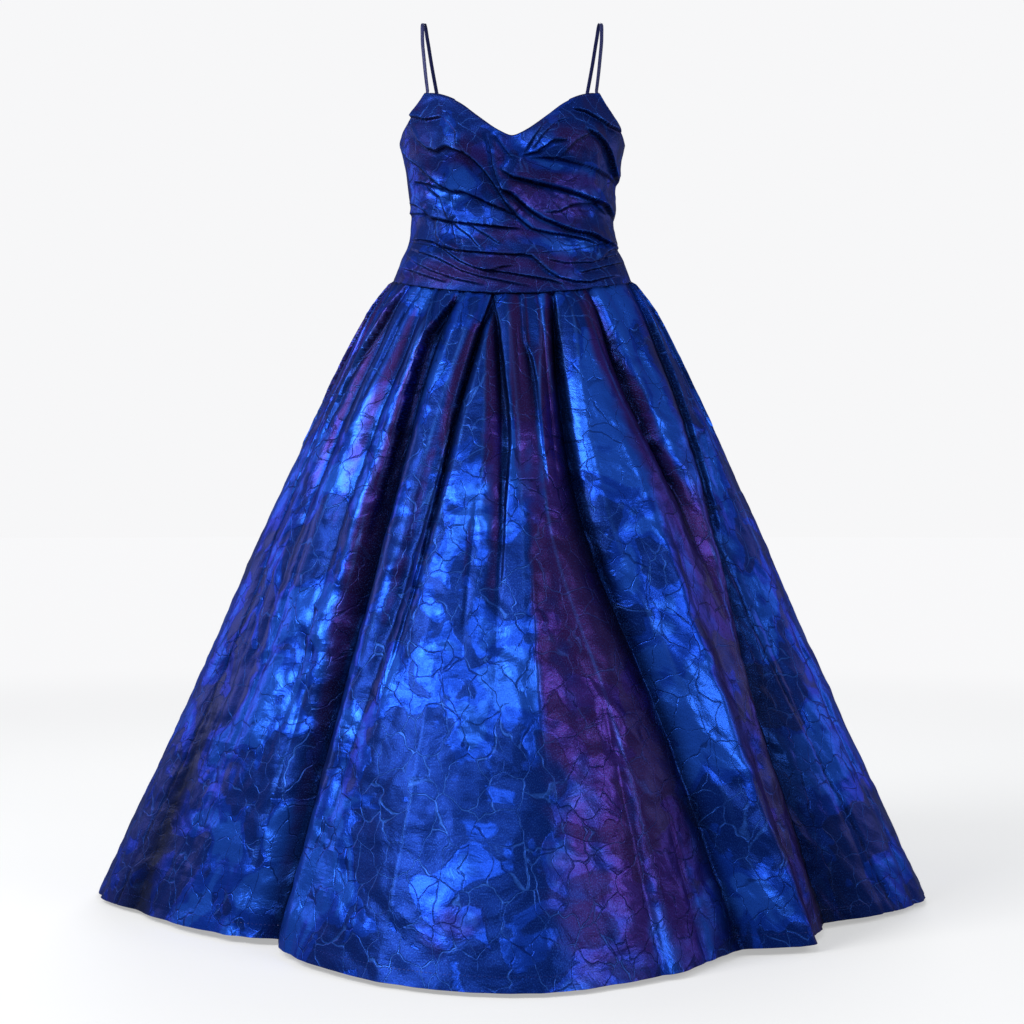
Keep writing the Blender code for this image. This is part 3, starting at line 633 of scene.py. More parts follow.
# %% Folds
Fold = namedtuple("Fold", "name angle depth left right")
ANGLE_SHARES = (0.0, 0.12, 0.35, 0.65, 1.0)
DEPTH_SHARES = (0.0, 0.06, 0.23, 0.56, 1.0)
FOLDS = (
    Fold("back_left_deep", (-159, -159, -160, -161, -163), (4, 13, 24, 32, 46), (5, 7), (5, 9)),
    Fold("back_left_soft", (-139, -139, -138, -139, -142), (4, 12, 18, 22, 26), (5, 8), (5, 6)),
    Fold("back_left_seam", (-120, -119, -118, -118, -121), (4, 13, 26, 34, 50), (5, 9), (5, 6)),
    Fold("left_side", (-99, -98, -98, -99, -103), (3, 11, 14, 18, 26), (5, 5), (5, 8)),
    Fold("left_crease", (-76, -76, -73, -72, -73), (2, 8, 8, 10, 28), (3, 8), (4, 10)),
    Fold("left_pleat", (-57, -60, -62, -62, -63), (3, 12, 14, 9, 6), (4, 4), (4, 5)),
    Fold("left_gather", (-40, -43, -46, -48, -52), (3, 12, 14, 9, 4), (4, 5), (4, 5)),
    Fold("left_deep", (-26, -31, -34.3, -37.5, -40.5), (4, 17, 36, 44, 38), (5, 4.5), (4, 4)),
    Fold("front_left", (-10.2, -14.8, -19.8, -26.5, -32.5), (4, 16, 15, 12, 3), (3, 3), (2.5, 2.5)),
    Fold("front_centre", (-7, -4.2, -2.5, -2.8, -2.5), (4, 15, 14, 7, 0), (3, 3), (3, 3)),
    Fold("front_gather", (6, 6, 7, 9, 12), (3, 10, 8, 5, 8), (4, 5), (4, 7)),
    Fold("front_right", (19.5, 16.5, 16.8, 27.5, 35.5), (4, 19, 34, 34, 20), (4, 9), (4, 3)),
    Fold("right_flute", (27, 26, 33, 39, 45), (0, -4, -10, -24, -44), (6, 7), (6, 5)),
    Fold("right_pleat", (38, 39, 48, 52, 53), (3, 13, 22, 4, 0), (4, 3), (4, 3)),
    Fold("right_deep", (70, 68, 62.5, 58.5, 58.5), (3, 12, 18, 34, 34), (5, 4), (5, 14)),
    Fold("right_side", (94, 92, 91, 90, 88), (3, 11, 12, 10, 10), (5, 5), (5, 6)),
    Fold("back_right_seam", (118, 118, 117, 117, 119), (4, 13, 26, 34, 50), (5, 7), (5, 8)),
    Fold("back_right_soft", (138, 139, 140, 139, 140), (4, 12, 18, 20, 24), (5, 8), (5, 6)),
    Fold("back_right_deep", (158, 159, 160, 160, 161), (4, 13, 26, 34, 48), (5, 9), (5, 7)),
)
FOLD_SHARPNESS = 1.5
V_SHARE = 0.42
V_WIDTH = 1.55
V_CURVE = 1.25

Panel = namedtuple("Panel", "name first last")
PANELS = (
    Panel("skirt_back_left", None, "back_left_seam"),
    Panel("skirt_side_left", "back_left_seam", "left_deep"),
    Panel("skirt_front", "left_deep", "right_deep"),
    Panel("skirt_side_right", "right_deep", "back_right_seam"),
    Panel("skirt_back_right", "back_right_seam", None),
)

# %% [markdown]
# Near the waist the pleats lap: one layer of cloth lies on the next and ends in a sharp edge, with a
# dark gap beside it; a highlight along the edge and shade in the gap are also painted into the colour.
# Each row: which side lies on top (1 is the viewer's right), the edge as shares of the way down and
# angles there, its height in mm at those places, and in mm how far it slopes back.

# %% Laps
Lap = namedtuple("Lap", "name over shares angles heights slope")
LAPS = (
    Lap("left_wedge", -1, (0, 0.025, 0.05, 0.075, 0.11, 0.17, 0.25, 0.35, 0.45),
        (-24.8, -27.6, -30.6, -33.5, -34.9, -36.0, -36.5, -37.5, -39.0), (4, 8, 11, 13, 13, 11, 8, 4, 0), 30),
    Lap("left_thin", 1, (0, 0.016, 0.05, 0.075), (-37.4, -36.5, -34.6, -33.6), (3, 5, 5, 0), 10),
    Lap("left_centre", -1, (0, 0.034, 0.066, 0.09, 0.119, 0.151, 0.188, 0.226, 0.305, 0.431, 0.565, 0.674),
        (-9.2, -10.8, -13.0, -13.9, -15.2, -16.2, -17.2, -17.5, -17.9, -19.6, -22.2, -24.2),
        (4, 8, 9, 10, 10, 10, 10, 9, 7, 5, 3, 0), 26),
    Lap("centre", 1, (0, 0.06, 0.116, 0.184, 0.216, 0.254, 0.339, 0.425, 0.494),
        (-8.2, -4.6, -2.6, -0.9, -0.4, -0.2, -1.2, -1.6, -2.2), (3, 6, 9, 11, 11, 9, 6, 3, 0), 22),
    Lap("centre_gather", 1, (0, 0.083, 0.114, 0.149, 0.198, 0.261, 0.34), (4.4, 4.8, 7.2, 8.0, 8.1, 8.3, 9.5),
        (2, 4, 5, 5, 4, 3, 0), 16),
    Lap("right_centre", 1, (0, 0.05, 0.092, 0.136, 0.21, 0.261, 0.306, 0.357, 0.403, 0.446, 0.497, 0.60),
        (19.8, 18.1, 17.9, 17.5, 17.3, 17.1, 17.5, 18.2, 19.3, 21.0, 22.8, 26.5),
        (5, 10, 12, 12, 11, 9, 8, 7, 5, 4, 2, 0), 30),
    Lap("right_ridge", 1, (0, 0.046, 0.09, 0.134, 0.175, 0.217, 0.27, 0.311, 0.386),
        (39.8, 40.4, 40.7, 41.4, 43.1, 44.9, 46.3, 47.8, 52.0), (4, 7, 9, 9, 9, 8, 7, 5, 0), 24),
    Lap("right_seam", 1, (0, 0.03, 0.084, 0.125, 0.169, 0.21, 0.266, 0.346, 0.444),
        (75.0, 73.4, 72.6, 71.7, 70.2, 68.7, 67.0, 65.0, 62.5), (3, 5, 6, 6, 6, 5, 5, 4, 0), 20),
    Lap("left_strip", -1, (0, 0.028, 0.07, 0.103, 0.134, 0.168, 0.215, 0.30),
        (-57.4, -60.2, -62.4, -64.8, -67.0, -68.0, -68.6, -69.5), (3, 6, 7, 7, 6, 5, 4, 0), 24),
    Lap("left_back", -1, (0, 0.05, 0.12, 0.22, 0.36), (-84, -86, -88, -89, -89), (4, 8, 8, 5, 0), 26),
    Lap("back_one", -1, (0, 0.05, 0.12, 0.22, 0.40), (-104, -106, -108, -109, -110), (4, 9, 10, 7, 0), 28),
    Lap("back_two", 1, (0, 0.05, 0.12, 0.20, 0.33), (-131, -129, -127, -126, -125), (4, 9, 10, 7, 0), 28),
    Lap("back_three", -1, (0, 0.05, 0.12, 0.24, 0.44), (-146, -148, -150, -151, -152), (4, 9, 11, 8, 0), 28),
    Lap("back_four", 1, (0, 0.05, 0.12, 0.20, 0.35), (-171, -170, -169, -168, -168), (3, 7, 8, 6, 0), 24),
    Lap("back_five", -1, (0, 0.05, 0.12, 0.22, 0.38), (170, 169, 168, 167, 167), (3, 8, 9, 6, 0), 24),
    Lap("back_six", 1, (0, 0.05, 0.12, 0.24, 0.45), (146, 147, 149, 150, 151), (4, 9, 11, 8, 0), 28),
    Lap("back_seven", -1, (0, 0.05, 0.12, 0.20, 0.34), (131, 130, 128, 127, 126), (4, 8, 9, 6, 0), 28),
    Lap("back_eight", 1, (0, 0.05, 0.12, 0.24, 0.42), (104, 106, 107, 108, 109), (4, 9, 10, 7, 0), 28),
    Lap("right_back", 1, (0, 0.05, 0.12, 0.22, 0.34), (86, 86, 85, 84, 83), (4, 7, 8, 5, 0), 24),
)

# %% Seams inside a panel, which only show as a thin groove
SeamLine = namedtuple("SeamLine", "shares angles")
SEAM_LINES = (
    SeamLine((0, 0.17, 0.27, 0.372, 0.52, 0.671, 0.784, 0.874, 1),
             (-81, -78, -75.5, -73, -72, -73.1, -74.6, -76.4, -77.5)),
    SeamLine((0.44, 0.55, 0.70, 0.85, 1), (62.5, 64, 67, 70, 72)),
)

# %% [markdown]
# Smaller pleats and creases lie between the folds. Each row: its angle at its two ends, the share of
# the way down where it starts and ends, its depth in mm, and its width in mm to the left and right.
# A side that is narrow gives a sharp edge. A depth less than 0 makes a ridge.

# %% Small pleats and creases
Crease = namedtuple("Crease", "angles shares depth left right")
CREASES = (
    Crease((-35.5, -30), (0.00, 0.10), 4.0, 2, 7),
    Crease((-47, -54), (0.00, 0.22), 4.5, 3, 8),
    Crease((-68, -67), (0.00, 0.30), 4.0, 8, 4),
    Crease((-17, -22), (0.00, 0.13), 3.5, 3, 8),
    Crease((1.5, 3), (0.02, 0.20), 3.0, 8, 3),
    Crease((12, 11.5), (0.00, 0.33), 4.0, 8, 3),
    Crease((24, 27), (0.00, 0.09), 3.0, 3, 7),
    Crease((31, 36), (0.00, 0.16), 3.5, 7, 3),
    Crease((50, 53), (0.00, 0.26), 5.0, 9, 4),
    Crease((60, 58), (0.03, 0.20), 3.0, 4, 8),
    Crease((80, 79), (0.00, 0.34), 4.0, 7, 4),
    Crease((86, 84), (0.10, 0.55), 3.0, 5, 9),
    Crease((-87, -86), (0.00, 0.28), 4.5, 4, 9),
    Crease((-92, -90), (0.16, 0.62), 3.0, 8, 5),
    Crease((-108, -110), (0.00, 0.24), 4.5, 9, 4),
    Crease((-129, -128), (0.00, 0.30), 4.5, 4, 8),
    Crease((-149, -150), (0.00, 0.22), 4.0, 8, 4),
    Crease((-168, -170), (0.00, 0.34), 4.5, 4, 8),
    Crease((105, 106), (0.00, 0.28), 4.5, 8, 4),
    Crease((127, 129), (0.00, 0.22), 4.0, 4, 9),
    Crease((148, 147), (0.00, 0.33), 4.5, 8, 4),
    Crease((169, 171), (0.00, 0.26), 4.0, 4, 8),
    Crease((-56, -60), (0.30, 0.86), 3.5, 3, 12),
    Crease((-66, -69), (0.36, 0.95), 3.0, 10, 4),
    Crease((-44, -47), (0.52, 1.00), 3.5, 4, 12),
    Crease((-31, -36), (0.40, 0.98), 3.0, 9, 4),
    Crease((-22, -24), (0.22, 0.60), 3.0, 4, 10),
    Crease((-13, -16), (0.50, 1.00), -2.0, 12, 9),
    Crease((-8, -9), (0.30, 0.62), 3.0, 4, 9),
    Crease((3.5, 5), (0.34, 0.80), -3.5, 9, 5),
    Crease((15, 19), (0.60, 1.00), 4.0, 12, 4),
    Crease((24, 27), (0.74, 1.00), 3.5, 10, 4),
    Crease((38, 41), (0.30, 0.62), 3.0, 5, 12),
    Crease((46, 49), (0.70, 1.00), 4.0, 5, 10),
    Crease((54, 56), (0.46, 0.86), 3.0, 8, 4),
    Crease((66, 70), (0.42, 1.00), 3.5, 5, 12),
    Crease((76, 78), (0.50, 1.00), 3.5, 12, 5),
    Crease((-82, -84), (0.50, 1.00), 4.0, 12, 4),
    Crease((-110, -112), (0.45, 1.00), 4.0, 5, 12),
    Crease((-129, -131), (0.50, 1.00), 4.0, 12, 5),
    Crease((-149, -152), (0.42, 1.00), 4.0, 5, 12),
    Crease((-171, -173), (0.48, 1.00), 3.5, 12, 5),
    Crease((102, 101), (0.44, 1.00), 4.0, 12, 5),
    Crease((128, 130), (0.52, 1.00), 4.0, 5, 12),
    Crease((149, 151), (0.46, 1.00), 4.0, 12, 5),
    Crease((171, 172), (0.50, 1.00), 3.5, 5, 12),
)


# %% [markdown]
# Some stretches of a panel get a painted highlight, some are painted darker and some turn violet,
# over a hand's breadth. Each row is one such stretch: its angle and share of the way down, how far it
# reaches each way, and how much brighter (or darker) and how much more violet (or blue) it is.

# %% Painted sheen: highlights, darker patches and violet
PaintedSheen = namedtuple("PaintedSheen", "across down wide tall bright violet")
SKIRT_PAINTED_SHEENS = (
    PaintedSheen(-11, 0.36, 7, 0.12, 0.30, -0.10),
    PaintedSheen(-12, 0.55, 9, 0.10, 0.18, -0.20),
    PaintedSheen(-29, 0.45, 4, 0.30, 0.16, -0.20),
    PaintedSheen(-40, 0.03, 4, 0.04, 0.30, -0.20),
    PaintedSheen(-31, 0.03, 5, 0.05, -0.45, -0.30),
    PaintedSheen(-16, 0.04, 5, 0.05, -0.40, 0.00),
    PaintedSheen(-47, 0.10, 5, 0.07, -0.30, -0.10),
    PaintedSheen(1, 0.10, 6, 0.14, -0.30, 0.30),
    PaintedSheen(12, 0.13, 5, 0.14, -0.20, 0.30),
    PaintedSheen(13, 0.02, 4, 0.02, 0.30, -0.10),
    PaintedSheen(29, 0.03, 7, 0.04, -0.30, 0.00),
    PaintedSheen(23, 0.20, 4, 0.08, 0.16, -0.30),
    PaintedSheen(28, 0.36, 5, 0.14, 0.16, -0.30),
    PaintedSheen(34, 0.08, 4, 0.07, -0.30, 0.60),
    PaintedSheen(41, 0.20, 5, 0.09, -0.30, 0.70),
    PaintedSheen(46, 0.32, 5, 0.09, -0.30, 0.70),
    PaintedSheen(50, 0.45, 5, 0.10, -0.25, 0.60),
    PaintedSheen(46, 0.08, 3, 0.08, 0.35, -0.50),
    PaintedSheen(51, 0.20, 3, 0.08, 0.30, -0.50),
    PaintedSheen(57, 0.33, 3.5, 0.10, 0.30, -0.50),
    PaintedSheen(-12, 0.76, 13, 0.12, -0.30, 0.00),
    PaintedSheen(-13, 0.87, 6, 0.06, -0.30, 0.00),
    PaintedSheen(33, 0.62, 5, 0.20, 0.22, -0.35),
    PaintedSheen(13, 0.40, 7, 0.14, -0.20, 0.45),
    PaintedSheen(16, 0.60, 10, 0.14, -0.22, 0.50),
    PaintedSheen(19, 0.85, 12, 0.18, -0.22, 0.50),
    PaintedSheen(53, 0.45, 4, 0.24, -0.15, 0.35),
    PaintedSheen(70, 0.70, 9, 0.26, 0.10, 0.10),
    PaintedSheen(-58, 0.60, 10, 0.30, 0.12, -0.25),
    PaintedSheen(-82, 0.50, 9, 0.40, 0.08, -0.15),
    PaintedSheen(-8, 0.92, 6, 0.05, 0.10, 0.30),
    PaintedSheen(-46, 0.80, 5, 0.34, 0.08, -0.80),
    PaintedSheen(-37, 0.80, 4, 0.30, 0.20, -0.40),
    PaintedSheen(-14, 0.80, 12, 0.14, -0.10, -0.30),
    PaintedSheen(58, 0.50, 5, 0.24, -0.20, 0.50),
    PaintedSheen(-116, 0.45, 8, 0.25, 0.15, 0.30),
    PaintedSheen(-140, 0.60, 9, 0.22, 0.20, -0.25),
    PaintedSheen(-168, 0.40, 9, 0.25, -0.15, 0.40),
    PaintedSheen(-172, 0.80, 8, 0.16, 0.20, -0.20),
    PaintedSheen(160, 0.55, 9, 0.25, 0.20, -0.25),
    PaintedSheen(130, 0.45, 9, 0.25, -0.15, 0.40),
    PaintedSheen(108, 0.70, 9, 0.25, 0.15, -0.20),
)


def painted_sheen(across, down, rows, wrap=None):
    """The painted brightening at a place, which is below 0 where the cloth is painted darker, and its shift
    to violet.
    """
    bright, violet = 0.0, 0.0
    for row in rows:
        away = across - row.across
        if wrap:
            away = (away + wrap / 2) % wrap - wrap / 2
        near = hill(away, row.wide) * hill(down - row.down, row.tall)
        bright = bright + row.bright * near
        violet = violet + row.violet * near
    return bright, violet


# %% One fold
LIP_HIGHLIGHT_WIDTH = 0.0022
LIP_HIGHLIGHT_DEPTHS = (0.006, 0.016)
LIP_HIGHLIGHT_FADES = (0.45, 0.95)
VALLEY_SHADE_DEPTHS = (0.003, 0.022)
WIDE_VALLEY_SHADE_DEPTHS = (0.022, 0.042)


def fold_angle(fold, share):
    return smooth(share, ANGLE_SHARES, fold.angle)


def turned_away(degrees, centre):
    """The degrees from one angle to another, the short way round."""
    return (degrees - centre + 180) % 360 - 180


def fold_relief(fold, degrees, share, metres):
    """A groove, part of it a V with straight flanks, with a painted highlight along the edge of the V on each
    side and painted shade down the middle. Metres spans one degree.
    """
    away = turned_away(degrees, fold_angle(fold, share))
    left, right = (waist + (hem - waist) * share for waist, hem in (fold.left, fold.right))
    spread = np.where(away < 0, left, right)
    t = np.abs(away) / spread
    depth = smooth(share, DEPTH_SHARES, fold.depth) / MM
    pressed = np.where(depth > 0, V_SHARE, 0.0)
    groove = np.exp(-(t**FOLD_SHARPNESS)) * (1 - pressed)
    vee = np.clip(1 - t / V_WIDTH, 0, 1) ** V_CURVE * pressed
    # Painted highlight along each edge of the V, fainter down the skirt; painted shade down the middle of the
    # groove
    crisp = soft_step(depth, *LIP_HIGHLIGHT_DEPTHS) * (1 - 0.6 * soft_step(share, *LIP_HIGHLIGHT_FADES))
    lip = crisp * hill((t - V_WIDTH) * spread * metres, LIP_HIGHLIGHT_WIDTH)
    reach = 0.45 + 0.35 * soft_step(depth, *WIDE_VALLEY_SHADE_DEPTHS)
    valley = soft_step(depth, *VALLEY_SHADE_DEPTHS) * hill(t, reach)
    return depth * (groove + vee), lip, valley


# %% One lap, seam or crease
LAP_ROOF_CURVE = 1.3
LAP_FALL = 0.0022
LAP_GROOVE = 0.007
LAP_HIGHLIGHT_WIDTH = 0.0014
LAP_HEIGHTS = (0.001, 0.008)
SEAM_WIDTH = 0.0016
SEAM_DEPTH = 0.0022
SEAM_SHADE = 0.8
CREASE_STARTS = (0.0, 0.30)
CREASE_ENDS = (0.55, 1.0)
RIDGE_HIGHLIGHT = 0.2
RIDGE_HIGHLIGHT_WIDTH = 0.0018


def lap_relief(lap, degrees, share, metres):
    """A roof that slopes back from a sharp edge, a steep fall beside it, and a groove there, with a painted
    highlight along the edge and painted shade in the groove.
    """
    height = np.interp(share, lap.shares, lap.heights, right=0) / MM
    away = turned_away(degrees, np.interp(share, lap.shares, lap.angles)) * metres * lap.over
    roof = np.clip(1 - away / (lap.slope / MM), 0, 1) ** LAP_ROOF_CURVE
    fall = np.clip(1 + away / LAP_FALL, 0, 1)
    groove = hill(away + LAP_FALL + 0.35 * LAP_GROOVE, LAP_GROOVE) * (away < 0)
    strong = soft_step(height, *LAP_HEIGHTS)
    sink = 0.5 * height * groove - height * np.where(away > 0, roof, fall)
    return sink, strong * hill(away - LAP_HIGHLIGHT_WIDTH, LAP_HIGHLIGHT_WIDTH), strong * groove


def seam_relief(seam, degrees, share, metres):
    """A thin groove, with painted shade in it."""
    away = turned_away(degrees, np.interp(share, seam.shares, seam.angles)) * metres
    near = hill(away, SEAM_WIDTH) * (share >= seam.shares[0])
    return SEAM_DEPTH * near, 0.0, SEAM_SHADE * near


def crease_relief(crease, degrees, share, metres):
    """A small crease or ridge, which fades out at its ends but for those at the waist or hem. A ridge gets a
    painted highlight along its top.
    """
    start, end = crease.shares
    along = (share - start) / (end - start)
    centre = crease.angles[0] + (crease.angles[1] - crease.angles[0]) * np.clip(along, 0, 1)
    away = turned_away(degrees, centre) * metres
    width = np.where(away < 0, crease.left, crease.right) / MM * (0.8 + 1.2 * share)
    begin = 1.0 if start == 0 else soft_step(along, *CREASE_STARTS)
    finish = 1.0 if end == 1 else 1 - soft_step(along, *CREASE_ENDS)
    here = begin * finish * (share >= start) * (share <= end)
    depth = crease.depth / MM * (1.0 + 0.6 * share)
    lip = here * hill(away, RIDGE_HIGHLIGHT_WIDTH) * (RIDGE_HIGHLIGHT if crease.depth < 0 else 0.0)
    return here * depth * np.exp(-np.abs(away) / width), lip, 0.0


# %% All of them together
SKIRT_RELIEFS = (
    (fold_relief, FOLDS),
    (lap_relief, LAPS),
    (seam_relief, SEAM_LINES),
    (crease_relief, CREASES),
)


def skirt_relief(degrees, share, radius):
    """How far the folds and creases sink the cloth, the painted highlight on their edges and the painted
    shade in their grooves.
    """
    metres = np.radians(1.0) * radius
    total = (0.0, 0.0, 0.0)
    for relief_of, rows in SKIRT_RELIEFS:
        for row in rows:
            total = [old + new for old, new in zip(total, relief_of(row, degrees, share, metres))]
    sink, lip, valley = total
    return sink, np.clip(lip, 0, 1), np.clip(valley, 0, 1)


def hem_level(angle):
    return -HEIGHT + HEM_LIFT * np.sin(2 * angle) ** 2


# %% The skirt laid flat, and its crumples
# Laid flat, the skirt is a part of a ring, as a cone's wall is, and this is that cone's slope
CONE_SIN = 0.46
# The cloth's small creases run up to the right, at this slant
STREAK_COS, STREAK_SIN = math.cos(math.radians(32)), math.sin(math.radians(32))
SKIRT_CRUMPLES = (Crumple(0.0032, 1.2, 0.85, 0.105, 3), Crumple(0.0026, 1.0, 1.25, 0.044, 11))
SKIRT_FINE_CRUMPLES = (Crumple(0.0012, 1.0, 1.5, 0.021, 23),)
SKIRT_STREAKS = (Crumple(0.65, 0.45, 1.1, 0.058, 91), Crumple(0.35, 0.5, 1.5, 0.030, 97))
SKIRT_LAKE_SIZE, SKIRT_LAKE_LEVEL = 0.075, 0.03
CALM_SHARES = (0.02, 0.30)
CALM_DEGREES = 4.0


def flat_place(degrees, radius):
    """The flat coordinates of a point of the skirt, in metres."""
    far = radius / CONE_SIN
    turn = np.radians(degrees) * CONE_SIN
    return np.stack([far * np.sin(turn), -far * np.cos(turn)], axis=-1)


def ring_size(share, name):
    """The skirt's reach to the side, front or back, at a share of the way down."""
    return smooth(share, column_of(SKIRT, "share"), column_of(SKIRT, name))


def skirt_surface(degrees, share):
    """The skirt's outer face on a grid, with its flat coordinates and its marks."""
    angle = np.radians(degrees)
    top = waist_level(angle) - SEAM_GAP / 2
    z = top + (hem_level(angle) - top) * share
    pinch = np.where(np.cos(angle) > 0, FRONT_PINCH, BACK_PINCH) * share * np.sin(2 * angle) ** 2
    side, front, back = (ring_size(share, name) * (1 - pinch) for name in ("side", "front", "back"))
    x, y, out_x, out_y = oval(angle, side, front, back)
    radius = ring_size(share, "side")
    sink, lip, valley = skirt_relief(degrees, share, radius)
    flat = flat_place(degrees, radius)
    u, v = flat[..., 0], flat[..., 1]

    # Crumples come in patches, and fade at the waist, at the centre-back seam and towards the sides
    calm = soft_step(share, *CALM_SHARES) * soft_step(180 - np.abs(degrees), 0.0, CALM_DEGREES)
    patches = 0.45 + 0.75 * soft_step(soft_noise(u, v, 0.21, 31), -0.5, 0.6)
    facing = 0.45 + 0.55 * np.cos(angle) ** 2
    crumple = crumpled(SKIRT_CRUMPLES, u, v) * patches * facing
    off = -sink + (crumple + crumpled(SKIRT_FINE_CRUMPLES, u, v)) * calm
    points = np.stack([x + out_x * off, y + out_y * off, z + 0 * x], axis=-1)
    plain = np.stack([x, y, z + 0 * x], axis=-1)

    along, over = u * STREAK_COS - v * STREAK_SIN, u * STREAK_SIN + v * STREAK_COS
    # Lips get an uneven painted highlight; painted highlights and darker patches from the sheen table go into
    # the lakes
    uneven = 0.35 + 0.65 * soft_step(soft_noise(u, v, 0.05, 77), -0.2, 0.6)
    bright, violet = painted_sheen(degrees, share, SKIRT_PAINTED_SHEENS, wrap=360)
    marks = {
        "flank": flank_of(points, plain) + violet,
        "lip": lip * uneven,
        "valley": valley,
        "lake": lakes(u, v, SKIRT_LAKE_SIZE, 61) + SKIRT_LAKE_LEVEL + bright,
        "crease": crumpled(SKIRT_STREAKS, along, over) * calm,
    }
    return points, flat, marks

# %% The grid of a panel
SKIRT_ROWS = 165
ROW_CROWDING = 1.12
COLUMN_DEGREES = 0.40
FEWEST_COLUMNS = 6


def panel_grid(panel, shares):
    """Angles of a panel's grid: columns run along the folds, so that creases stay sharp."""
    names = column_of(FOLDS, "name")
    first = 0 if panel.first is None else names.index(panel.first)
    last = len(FOLDS) - 1 if panel.last is None else names.index(panel.last)
    lines = [fold_angle(FOLDS[i], shares) for i in range(first, last + 1)]
    if panel.first is None:
        lines.insert(0, np.full(len(shares), -180.0))
    if panel.last is None:
        lines.append(np.full(len(shares), 180.0))
    columns = []
    for near, far in zip(lines[:-1], lines[1:]):
        steps = max(FEWEST_COLUMNS, round(float(far[-1] - near[-1]) / COLUMN_DEGREES))
        columns += [near + (far - near) * step / steps for step in range(steps)]
    columns.append(lines[-1])
    return np.stack(columns, axis=1)


def with_seam_edges(degrees, radius):
    """Leaves the seam's gap at both edges. The last edge turns in and runs on under the next panel."""
    gap = np.degrees(SEAM_GAP / 2 / radius)
    degrees[:, 0] += gap
    degrees[:, -1] -= gap
    beyond = degrees[:, -1] + np.degrees(ALLOWANCE_WIDTH / radius)
    return np.column_stack([degrees, degrees[:, -1], beyond])


# %% Build the skirt's panels
TUCK = 0.006
TUCK_DEPTH = 0.0003
TUCK_SHADE_ROWS = 1.6
SKIRT_CLOTH_THICKNESS = 0.0009
ALLOWANCE_DEPTH = 0.0014
ALLOWANCE_WIDTH = 0.003


def tucked_under(degrees, outer, flat, marks):
    """The skirt goes on a little way under the waistband, so that no gap shows at the seam, and gets painted
    shade along it.
    """
    angle = np.radians(degrees[0])
    above = torso_point(angle, waist_level(angle) + TUCK, -TUCK_DEPTH)
    outer, flat, marks = with_row_above(above, flat[:1] * (1 - TUCK), outer, flat, marks)
    tuck_shade = hill(np.arange(len(outer)), TUCK_SHADE_ROWS)[:, None]
    marks["valley"] = np.maximum(marks["valley"], tuck_shade)
    return outer, flat, marks


shares = np.linspace(0, 1, SKIRT_ROWS + 1) ** ROW_CROWDING
for panel in PANELS:
    degrees = with_seam_edges(panel_grid(panel, shares), ring_size(shares, "back"))
    share = np.broadcast_to(shares[:, None], degrees.shape)
    outer, flat, marks = tucked_under(degrees, *skirt_surface(degrees, share))
    outer[:, -2:] -= grid_normals(outer)[:, -2:] * ALLOWANCE_DEPTH
    made = cloth_shell(panel.name, outer, SKIRT_CLOTH_THICKNESS, flat, marks, skirt_cloth)
    declare_cut(made, outer)
